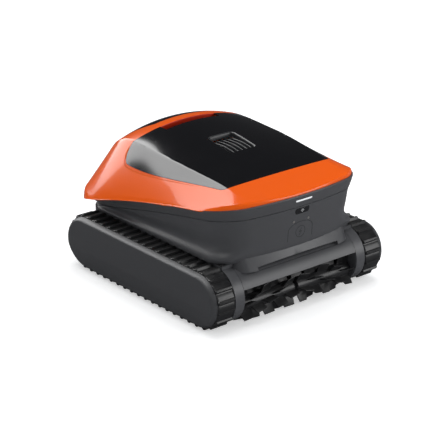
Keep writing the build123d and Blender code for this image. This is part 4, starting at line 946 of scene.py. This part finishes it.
def hull_grid(rows, grow=0.0):
    """Closed rings of the hull from its foot to the cover's edge.

    Each ring is a plan outline on a plane that tilts from level at the foot to the cover's slope.
    """
    cover = bpy.context.scene.robot_cover
    foot = HULL_LOW[2]
    slope = (EDGE_REAR - EDGE_FRONT) / (cover.nose + cover.tail)
    shares = np.linspace(0, 1, rows)
    table = spline(HULL_STATIONS[:, 0], HULL_STATIONS[:, 1:], shares)
    rings = []
    for share, (front_half, rear_half, front, radius) in zip(shares, table):
        ring = body_plan(CHASSIS_HALF + front_half + grow, CHASSIS_HALF + rear_half + grow,
                         cover.nose + front + grow, cover.tail - 6.0 + 10.0 * share + grow, radius,
                         CORNER_REAR - 8.0)
        ring = at_angles(ring, hull_angles())
        z = foot + share * (EDGE_MIDDLE + 3.0 - foot) + share * slope * ring[:, 1]
        rings.append(np.concatenate([ring, z[:, None]], -1))
    return np.stack(rings)


def hull_angles():
    """Directions at which the hull's rings are read, closer together at the corners."""
    turn = np.linspace(0, 2 * np.pi, 401)[:-1]
    return turn - 0.12 * np.sin(4 * turn)


def between(grid, level, low, high, rows):
    """Rings of a grid where a level that rises along each column goes from low to high, evenly spaced."""
    result = []
    for target in np.linspace(0, 1, rows):
        goal = low + (high - low) * target
        above = np.argmax(level >= goal, axis=0)
        above = np.where((level >= goal).any(axis=0), above, len(grid) - 1)
        above = np.maximum(above, 1)
        column = np.arange(grid.shape[1])
        a, b = level[above - 1, column], level[above, column]
        mix = np.clip((goal - a) / np.where(np.abs(b - a) < 1e-9, 1, b - a), 0, 1)[:, None]
        result.append(grid[above - 1, column] * (1 - mix) + grid[above, column] * mix)
    return np.stack(result)


def hull_front(x, z, proud=0.0):
    """y of the hull's front at places given by x and height."""
    grid = hull_grid(160)
    front = grid[:, grid[0, :, 1] < -150]
    order = np.argsort(front[0, :, 0])
    front = front[:, order]
    level = np.ravel(z)
    columns = np.stack([np.interp(level, column[:, 2], column[:, 1]) for column in front.swapaxes(0, 1)])
    at = front[len(front) // 2, :, 0]
    y = np.array([np.interp(px, at, columns[:, k]) for k, px in enumerate(np.ravel(x))])
    return y.reshape(np.shape(x)) - proud


class ROBOT_OT_hull(bpy.types.Operator):
    """Waisted grey hull and the light band under the cover"""

    bl_idname = "robot.hull"
    bl_label = "Hull and Light Band"

    def execute(self, context):
        grey = finishes()["hull_grey"]
        grid = hull_grid(260)
        above = grid[..., 2] - cover_edge(grid[..., 1])
        # the hull proper: from its foot to the band, its upper edge turned in
        cut = -BAND_HEIGHT - 0.3
        height = (grid[..., 2] - grid[:1, :, 2])
        span = height / np.maximum(height + (cut - above), 1e-6)
        body = between(grid, np.where(above < cut, span, 1.0 + above - cut), 0.0, 1.0, 70)
        last = body[-1]
        turned = [inward(last, 0.35, -0.1), inward(last, 1.2, -0.15), inward(last, 2.6, -0.2)]
        hull = surface_piece("hull_skin", [(np.concatenate([body, np.stack(turned)]), True)])
        finish_piece(hull, "base", grey, ["mid_hull"], sharp=50.0)
        # the band: it stands a little proud, both edges rounded
        strip = between(grid, above, -BAND_HEIGHT, -0.35, 16)
        first, last = strip[0], strip[-1]
        low = [inward(first, 2.2, -0.05), inward(first, 0.8, -0.02), inward(first, 0.0, 0.15)]
        outer = inward_rows(strip[1:-1], -0.5)
        high = [inward(last, 0.0, -0.1), inward(last, 0.7, 0.0), inward(last, 4.0, 0.0)]
        rings = np.concatenate([np.stack(low), outer, np.stack(high)])
        band = surface_piece("light_band_skin", [(rings, True)])
        finish_piece(band, "base", grey, ["light_band"], sharp=60.0)
        return {"FINISHED"}


def inward(ring, by, rise):
    """A ring of points moved in by a distance along its plan normals and up by rise."""
    plan = shrunk(ring[:, :2], by)
    return np.concatenate([plan, ring[:, 2:] + rise], -1)


def inward_rows(rows, by):
    """Each ring of a grid moved in along its plan normals."""
    return np.stack([inward(ring, by, 0.0) for ring in rows])


# ---------------------------------------------------------------- small things on the hull's front
def hull_patch(name, outline, proud, edge=0.4, sink=1.2):
    """A thin pad on the hull's front: its outline's rings from a sunk rim over a round edge to its middle."""
    middle = outline.mean(0)
    rows = [(0.0, -sink), (0.0, proud - edge), (edge * 0.3, proud - edge * 0.3), (edge, proud)]
    rings, stands = [], []
    reach = np.linalg.norm(outline - middle, axis=1).max()
    for inset, stand in rows:
        rings.append(middle + (outline - middle) * (1 - inset / reach))
        stands.append(stand)
    last = rings[-1]
    for share in np.linspace(1, 0, 8)[1:]:
        rings.append(middle + (last - middle) * share)
        stands.append(proud)
    plan = np.stack(rings)
    y = hull_front(plan[..., 0], plan[..., 1]) - np.array(stands)[:, None]
    return surface_piece(name, [(np.stack([plan[..., 0], y, plan[..., 1]], -1), True)])


def ribbon(path, width, stand, closed=False):
    """A low ridge along a path on the hull's front: two sunk edges and a crest between them."""
    ahead = np.gradient(path, axis=0)
    ahead /= np.maximum(np.linalg.norm(ahead, axis=1, keepdims=True), 1e-9)
    aside = np.stack([-ahead[:, 1], ahead[:, 0]], -1)
    rows = []
    for offset, rise in ((-0.5, -0.3), (-0.4, stand), (0.4, stand), (0.5, -0.3)):
        plan = path + aside * offset * width
        rows.append(np.stack([plan[:, 0], hull_front(plan[:, 0], plan[:, 1]) - rise, plan[:, 1]], -1))
    return np.stack(rows), closed


def oblong(half_width, middle_z, half_height, radius):
    """Outline in the x and z plane of a bar with rounded corners."""
    low, high = middle_z - half_height, middle_z + half_height
    return rounded([(half_width, low), (half_width, high), (-half_width, high), (-half_width, low)],
                   [radius] * 4, edge_step=1.2)


def arc(middle, radius, first, last, count):
    """Points on an arc in the x and z plane, angles from +X towards +Z in degrees."""
    turn = np.radians(np.linspace(first, last, count))
    return np.stack([middle[0] + radius * np.cos(turn), middle[1] + radius * np.sin(turn)], -1)


BAND_STANDS = 0.5
BUTTON_Z = 183.0
CHARGE_Z = 143.0


class ROBOT_OT_front_details(bpy.types.Operator):
    """Lamp strip, button window, power button and the engraved charging mark"""

    bl_idname = "robot.front_details"
    bl_label = "Front Details"

    def execute(self, context):
        looks = finishes()
        lamp_z = (LAMP_LOW[2] + LAMP_HIGH[2]) / 2
        lamp = oblong(18.3, lamp_z, 1.6, 1.55)
        piece = hull_patch("lamp_strip", lamp, BAND_STANDS + 0.15, edge=0.25)
        finish_piece(piece, "base", looks["lamp_white"], ["led_light_pipe"], sharp=60.0)
        window = oblong(15.9, BUTTON_Z, 5.75, 4.6)
        piece = hull_patch("button_window", window, 0.25, edge=0.3)
        finish_piece(piece, "base", looks["black_gloss"], ["button_bezel"], sharp=60.0)
        disc = arc((0.0, BUTTON_Z), 4.6, 0, 352.5, 48)
        piece = hull_patch("power_button_face", disc, 0.45, edge=0.3, sink=0.6)
        finish_piece(piece, "button", looks["black_gloss"], ["power_button"], sharp=60.0)
        ring = arc((0.0, BUTTON_Z), 2.3, 125, 415, 40)
        bar = np.stack([np.zeros(8), np.linspace(BUTTON_Z + 0.6, BUTTON_Z + 3.0, 8)], -1)
        mark = surface_piece("power_mark", [ribbon(ring, 0.55, 0.55), ribbon(bar, 0.55, 0.55)])
        finish_piece(mark, "button", looks["lamp_white"])
        # charging mark: an arch open at its foot, a ring in it and a zigzag in the ring; its engraved grooves
        # are drawn as low ridges in a near-black finish, painted shade for the shadow in the grooves
        foot, spring, reach = 129.0, 148.0, 27.7
        side = np.linspace(foot, spring, 12)[:-1]
        arch = np.concatenate([np.stack([np.full(11, reach), side], -1),
                               np.array([0.0, spring]) + (arc((0, 0), 1.0, 0, 180, 40) * (reach, 14.0)),
                               np.stack([np.full(11, -reach), side[::-1]], -1)])
        circle = arc((0.0, CHARGE_Z), 10.5, 0, 360, 60)
        bolt = resample(np.array([(2.2, CHARGE_Z + 6.2), (-2.6, CHARGE_Z - 0.6), (2.6, CHARGE_Z + 0.6),
                                  (-2.2, CHARGE_Z - 6.2)]), 40)
        lines = surface_piece("charging_mark", [ribbon(arch, 1.0, 0.08), ribbon(circle, 0.9, 0.08),
                                                ribbon(bolt, 0.9, 0.08)])
        finish_piece(lines, "base", looks["hollow_painted_shade"])
        return {"FINISHED"}


# ---------------------------------------------------------------- belts
AXLE = (BELT_HIGH[1] - BELT_LOW[1] - (BELT_HIGH[2] - BELT_LOW[2])) / 2
MIDDLE_Z = (BELT_HIGH[2] + BELT_LOW[2]) / 2
TREAD_RADIUS = (BELT_HIGH[2] - BELT_LOW[2]) / 2
# share of the pitch, share of the cleat's height
CLEAT_SHAPE = np.array([(0.00, 0.0), (0.04, 0.0), (0.14, 1.0), (0.30, 1.0), (0.37, 0.42), (0.90, 0.12),
                        (0.95, 0.0), (1.00, 0.0)])


def round_the_wheels(along, radius):
    """Points at a radius round two axles: along is counted in pitches from the front of the upper run.

    Upper run to the rear, rear turn, lower run to the front, front turn; returns y and z.
    """
    track = bpy.context.scene.robot_track
    runs, turns = track.pitch_count, track.turn_count
    along = np.mod(along, 2 * (runs + turns))
    top = along < runs
    rear = (along >= runs) & (along < runs + turns)
    low = (along >= runs + turns) & (along < 2 * runs + turns)
    y = np.where(top, -AXLE + 2 * AXLE * along / runs, AXLE - 2 * AXLE * (along - runs - turns) / runs)
    z = np.where(top, MIDDLE_Z + radius, MIDDLE_Z - radius)
    turn = np.where(rear, (along - runs) / turns, (along - 2 * runs - turns) / turns) * np.pi
    sign = np.where(rear, 1.0, -1.0)
    bent = ~(top | low)
    y = np.where(bent, sign * (AXLE + radius * np.sin(turn)), y)
    z = np.where(bent, MIDDLE_Z + sign * radius * np.cos(turn), z)
    return y, z


def belt_grid(side):
    """A belt: a closed section, cleated outside and flat inside, carried round both wheels."""
    track = bpy.context.scene.robot_track
    count = 2 * (track.pitch_count + track.turn_count)
    share = np.array([0.0, 0.04, 0.09, 0.14, 0.18, 0.26, 0.30, 0.335, 0.37, 0.6, 0.90, 0.95])
    along = (np.arange(count)[:, None] + share[None]).reshape(-1)
    # the tip of a cleat stands at the middle of its pitch
    tip = 0.5 - 0.22
    rise = np.interp(np.mod(along, 1.0), CLEAT_SHAPE[:, 0], CLEAT_SHAPE[:, 1]) * track.cleat
    body = TREAD_RADIUS - track.cleat
    x_low, x_high = (BELT_LOW[0], BELT_HIGH[0])
    edge = np.array([0.0, 0.3, 1.1, 3.0])
    across = np.concatenate([x_low + edge, x_high - edge[::-1]])
    fade = np.concatenate([[0.0, 0.72, 0.95, 1.0], [1.0, 0.95, 0.72, 0.0]])
    y, z = round_the_wheels(along[:, None] + tip, body + rise[:, None] * fade[None] + (fade[None] - 1) * 0.6)
    inner_y, inner_z = round_the_wheels(along + tip, body - track.thickness + 0.15)
    y = np.concatenate([y, inner_y[:, None], inner_y[:, None]], 1)
    z = np.concatenate([z, inner_z[:, None], inner_z[:, None]], 1)
    x = np.concatenate([across, [x_high - 0.3, x_low + 0.3]])
    grid = np.stack([side * np.broadcast_to(x, y.shape), y, z], -1)
    return np.concatenate([grid, grid[:1]])


class ROBOT_OT_belts(bpy.types.Operator):
    """Rubber belts with their cleats"""

    bl_idname = "robot.belts"
    bl_label = "Belts"

    def execute(self, context):
        for side, name in ((1, "right"), (-1, "left")):
            piece = surface_piece(f"belt_{name}", [(belt_grid(side), True)])
            finish_piece(piece, body_of(f"track_{name}"), finishes()["tread_rubber"],
                         [f"track_{name}"], sharp=24.0)
        return {"FINISHED"}


# ---------------------------------------------------------------- side covers
CREASE_Z = 42.5
CREASE_FALL = 5.5


def stadium(inset, count=64):
    """Plan of a side cover in y and z: two half circles joined by runs, drawn in by an inset."""
    radius = np.maximum(TREAD_RADIUS - 4.0 - inset, 0.0)
    turn = np.linspace(-np.pi / 2, np.pi / 2, count)
    rear = np.stack([AXLE + radius * np.cos(turn), MIDDLE_Z + radius * np.sin(turn)], -1)
    front = np.stack([-AXLE - radius * np.cos(turn), MIDDLE_Z - radius * np.sin(turn)], -1)
    run = np.linspace(0, 1, 90)[1:-1, None]
    upper, lower = rear[-1] + (front[0] - rear[-1]) * run, front[-1] + (rear[0] - front[-1]) * run
    return np.concatenate([rear, upper, front, lower])


def side_cover_grid(side):
    """Rings of a side cover: a quarter ellipse for its rim, then its face, which falls in below a crease."""
    outer, inner = SIDE_HIGH[0], SIDE_LOW[0]
    rim, stand = 7.0, outer - inner - 2.0
    turn = np.linspace(0, np.pi / 2, 10)
    face = np.linspace(rim, TREAD_RADIUS - 4.0, 34)[1:]
    insets = np.concatenate([[2.4, 0.0], rim * (1 - np.cos(turn)), face])
    reach = np.concatenate([[0.0, 0.0], 2.0 + stand * np.sin(turn), np.full(33, 2.0 + stand)])
    rings = []
    for inset, out in zip(insets, reach):
        plan = stadium(inset)
        below = CREASE_Z - plan[:, 1]
        fall = CREASE_FALL / CREASE_Z * (below + np.sqrt(below ** 2 + 1.2 ** 2)) / 2
        x = inner + np.maximum(out - fall * out / (2.0 + stand), 0.0)
        rings.append(np.stack([side * x, plan[:, 0], plan[:, 1]], -1))
    return np.stack(rings)


class ROBOT_OT_side_covers(bpy.types.Operator):
    """Grey covers over the ends of the axles, inside the belts' outline"""

    bl_idname = "robot.side_covers"
    bl_label = "Side Covers"

    def execute(self, context):
        for side, name in ((1, "right"), (-1, "left")):
            piece = surface_piece(f"side_shield_{name}", [(side_cover_grid(side), True)])
            node, slot = f"side_cover_{name}", "side_cover_grey"
            finish_piece(piece, body_of(node), finishes()[slot], [node], sharp=50.0)
        return {"FINISHED"}


# ---------------------------------------------------------------- brush
BRUSH_AXIS = (-185.0, 33.0)
SLEEVE_RADIUS = 14.0
BLADE_ROWS, BLADE_SEGMENTS = 6, 5
SEGMENT_SHIFT, BLADE_TURN = 24.0, 8.0


def blade_grids(side):
    """Blades of one brush: a tapered section with a rounded tip, carried along x and turned a little."""
    low, high = BRUSH_LOW[0], BRUSH_HIGH[0]
    reach = min(31.0, BRUSH_AXIS[1] - BRUSH_LOW[2]) - 0.1
    half = np.array([(SLEEVE_RADIUS - 0.6, 1.5), (22.0, 1.15), (reach - 1.6, 0.85), (reach - 0.5, 0.7)])
    section = np.concatenate([half * (1, -1), [(reach, 0.0)], half[::-1]])
    length = (high - low) / BLADE_SEGMENTS
    along = np.linspace(0, 1, 9)
    grids = []
    for row in range(BLADE_ROWS):
        for segment in range(BLADE_SEGMENTS):
            start = low + segment * length
            taper = np.clip((section[:, 0] - SLEEVE_RADIUS) / (reach - SLEEVE_RADIUS), 0, 1) * 2.2
            way = along[:, None]
            x = start + 0.5 + taper[None] * (1 - way) + (length - 1.0 - taper[None]) * way
            base = np.radians(row * 360.0 / BLADE_ROWS + segment * SEGMENT_SHIFT + BLADE_TURN * way)
            radius, offset = section[:, 0][None], section[:, 1][None]
            y = BRUSH_AXIS[0] + radius * np.cos(base) - offset * np.sin(base)
            z = BRUSH_AXIS[1] + radius * np.sin(base) + offset * np.cos(base)
            body = np.stack([side * x, y, z], -1)
            ends = [np.repeat(body[k].mean(0)[None, None], len(section), 1) for k in (0, -1)]
            grids.append((np.concatenate([ends[0], body, ends[1]]), True))
    return grids


class ROBOT_OT_brushes(bpy.types.Operator):
    """Roller brush in two halves: sleeve and rows of stepped blades"""

    bl_idname = "robot.brushes"
    bl_label = "Brushes"

    def execute(self, context):
        turn = np.linspace(0, 2 * np.pi, 49)[:-1]
        for side, name in ((1, "right"), (-1, "left")):
            low, high = BRUSH_LOW[0], BRUSH_HIGH[0]
            x = np.array([low, low, low + 0.6, high - 0.6, high, high])[:, None]
            radius = SLEEVE_RADIUS - np.array([8.0, 0.6, 0.0, 0.0, 0.6, 8.0])[:, None]
            y, z = BRUSH_AXIS[0] + radius * np.cos(turn), BRUSH_AXIS[1] + radius * np.sin(turn)
            rings = np.stack([np.broadcast_to(side * x, y.shape), y, z], -1)
            piece = surface_piece(f"brush_{name}_blades", blade_grids(side) + [(rings, True)])
            finish_piece(piece, body_of(f"brush_blades_{name}"), finishes()["brush_rubber"],
                         [f"brush_blades_{name}"], sharp=40.0)
        return {"FINISHED"}


# ---------------------------------------------------------------- nodes that keep their CAD shape
def body_of(node):
    """Name of the CAD body that a node rides on."""
    return frame["nodes"][node]["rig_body"]


def slots_by_node():
    """Material slot of every CAD node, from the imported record."""
    return {part["node"]: part["material_slot"] for part in frame["record"]["subparts"]}


MOULDED = {"front_bumper": 0.6, "track_frame_right": 0.4, "track_frame_left": 0.4, "lid_latch": 0.3}


class ROBOT_OT_carried_parts(bpy.types.Operator):
    """Finishes of the parts that keep their CAD shape, and rounded copies of the moulded ones in view"""

    bl_idname = "robot.carried_parts"
    bl_label = "Chassis, Wheels and Inner Parts"

    def execute(self, context):
        looks = finishes()
        named = slots_by_node()
        for node, thing in frame["nodes"].items():
            material = looks[named[node]]
            if not thing.material_slots:
                thing.data.materials.append(material)
            for place in thing.material_slots:
                place.link = "OBJECT"
                place.material = material
        for node, edge in MOULDED.items():
            moulding(node, looks[named[node]], body_of(node), edge)
        return {"FINISHED"}


# ---------------------------------------------------------------- floor, light and camera
def area_light(name, place, target, size, power):
    """A rectangular softbox at a place, facing a target, metres and watts."""
    data = bpy.data.lights.new(name, "AREA")
    data.shape = "RECTANGLE"
    data.size, data.size_y = size
    data.energy = power
    lamp = bpy.data.objects.new(name, data)
    lamp.location = place
    lamp.rotation_euler = (Vector(target) - Vector(place)).to_track_quat("-Z", "Y").to_euler()
    bpy.context.scene.collection.objects.link(lamp)
    return lamp


def ray_switch(tree, output, first, second):
    """Mixes two shaders by one kind of ray: the second is what those rays meet."""
    rays = tree.nodes.new("ShaderNodeLightPath")
    mix = tree.nodes.new("ShaderNodeMixShader")
    tree.links.new(rays.outputs[output], mix.inputs[0])
    tree.links.new(first, mix.inputs[1])
    tree.links.new(second, mix.inputs[2])
    return mix.outputs[0]


class ROBOT_OT_stage(bpy.types.Operator):
    """Pale floor, surrounding light, softboxes and the camera"""

    bl_idname = "robot.stage"
    bl_label = "Stage"

    def execute(self, context):
        scene = context.scene
        view = scene.robot_stage
        scene.view_settings.view_transform = "Standard"
        mesh = bpy.data.meshes.new("floor")
        reach = 14.0
        mesh.from_pydata([(-reach, -reach, 0), (reach, -reach, 0), (reach, reach, 0), (-reach, reach, 0)], [],
                         [(0, 1, 2, 3)])
        floor = bpy.data.objects.new("floor", mesh)
        scene.collection.objects.link(floor)
        paper = bpy.data.materials.new("floor_paper")
        paper.use_nodes = True
        tree = paper.node_tree
        shader = tree.nodes["Principled BSDF"]
        shader.inputs["Roughness"].default_value = 0.85
        shader.inputs["Specular IOR Level"].default_value = 0.1
        fine = noise(tree, 60.0, 4.0)
        tint = blend_colour(tree, fine.outputs["Fac"], (0.90, 0.90, 0.90), (0.93, 0.93, 0.93))
        tree.links.new(tint, shader.inputs["Base Color"])
        seen = tree.nodes.new("ShaderNodeEmission")
        seen.inputs["Color"].default_value = (1.0, 1.0, 1.0, 1.0)
        seen.inputs["Strength"].default_value = 0.45
        add = tree.nodes.new("ShaderNodeAddShader")
        tree.links.new(shader.outputs[0], add.inputs[0])
        tree.links.new(seen.outputs[0], add.inputs[1])
        dim = tree.nodes.new("ShaderNodeBsdfDiffuse")
        dim.inputs["Color"].default_value = (0.22, 0.22, 0.23, 1.0)
        lit = ray_switch(tree, "Is Camera Ray", shader.outputs[0], add.outputs[0])
        tree.links.new(ray_switch(tree, "Is Glossy Ray", lit, dim.outputs[0]),
                       tree.nodes["Material Output"].inputs["Surface"])
        mesh.materials.append(paper)

        world = bpy.data.worlds.new("studio")
        world.use_nodes = True
        scene.world = world
        tree = world.node_tree
        soft = tree.nodes["Background"]
        soft.inputs["Color"].default_value = (0.96, 0.98, 1.0, 1.0)
        soft.inputs["Strength"].default_value = view.sky
        dark = tree.nodes.new("ShaderNodeBackground")
        dark.inputs["Color"].default_value = (0.05, 0.05, 0.053, 1.0)
        white = tree.nodes.new("ShaderNodeBackground")
        white.inputs["Color"].default_value = (1.0, 1.0, 1.0, 1.0)
        lit = ray_switch(tree, "Is Glossy Ray", soft.outputs[0], dark.outputs[0])
        tree.links.new(ray_switch(tree, "Is Camera Ray", lit, white.outputs[0]),
                       tree.nodes["World Output"].inputs["Surface"])

        middle = (0.0, 0.0, 0.15)
        # the rear softbox is what the lid's left facet mirrors, the overhead one the front left corner
        rear = area_light("rear_softbox", (-0.3, 1.95, 1.8), middle, (2.1, 3.2), 116.0)
        overhead = area_light("overhead_softbox", (-0.45, -0.2, 2.3), (0, -0.1, 0.2), (1.0, 1.0), 32.0)
        rear.visible_diffuse = overhead.visible_diffuse = False
        area_light("top_light", (0.2, 0.4, 2.6), middle, (2.4, 2.4), 34.0).visible_glossy = False
        area_light("front_softbox", (1.7, -2.2, 0.9), middle, (1.4, 1.4), 25.0)
        area_light("left_softbox", (-2.8, 0.9, 1.0), middle, (1.4, 1.2), 5.0)

        sin_a, cos_a = np.sin(view.azimuth), np.cos(view.azimuth)
        sin_e, cos_e = np.sin(view.elevation), np.cos(view.elevation)
        back = np.array([sin_a * cos_e, -cos_a * cos_e, sin_e])
        right = np.array([cos_a, sin_a, 0.0])
        up = np.cross(back, right)
        size = 0.376
        target = np.array([0.0, 0.0, 0.3 * size]) + right * -0.0395 * size + up * -0.0072 * size
        data = bpy.data.cameras.new("camera")
        data.lens = view.lens
        data.sensor_width = 36.0
        data.dof.use_dof = False
        data.clip_end = 60.0
        camera = bpy.data.objects.new("camera", data)
        turned = Matrix((right, up, back)).transposed()
        camera.matrix_world = Matrix.Translation(Vector(target + back * view.reach)) @ turned.to_4x4()
        scene.collection.objects.link(camera)
        scene.camera = camera
        return {"FINISHED"}


# ---------------------------------------------------------------- panel, registration and the run
OPERATORS = (ROBOT_OT_stage, ROBOT_OT_surround, ROBOT_OT_panels, ROBOT_OT_outlet, ROBOT_OT_hull,
             ROBOT_OT_front_details, ROBOT_OT_belts, ROBOT_OT_side_covers, ROBOT_OT_brushes,
             ROBOT_OT_carried_parts)
SETTINGS = {"robot_cover": CoverSettings, "robot_track": TrackSettings, "robot_finish": FinishSettings,
            "robot_stage": StageSettings}


class ROBOT_PT_pieces(bpy.types.Panel):
    """Lists the pieces of the robot in the sidebar"""

    bl_idname = "ROBOT_PT_pieces"
    bl_label = "Pool Robot"
    bl_space_type = "VIEW_3D"
    bl_region_type = "UI"
    bl_category = "Pool Robot"

    def draw(self, context):
        for operator in OPERATORS:
            self.layout.operator(operator.bl_idname)


def register():
    """Registers the settings, the operators and the panel."""
    for name, settings in SETTINGS.items():
        bpy.utils.register_class(settings)
        setattr(bpy.types.Scene, name, PointerProperty(type=settings))
    for operator in OPERATORS:
        bpy.utils.register_class(operator)
    bpy.utils.register_class(ROBOT_PT_pieces)


def unregister():
    """Takes away what register added."""
    bpy.utils.unregister_class(ROBOT_PT_pieces)
    for operator in reversed(OPERATORS):
        bpy.utils.unregister_class(operator)
    for name, settings in SETTINGS.items():
        delattr(bpy.types.Scene, name)
        bpy.utils.unregister_class(settings)


def main():
    register()
    for operator in OPERATORS:
        family, name = operator.bl_idname.split(".")
        getattr(getattr(bpy.ops, family), name)()


if __name__ == "__main__":
    main()
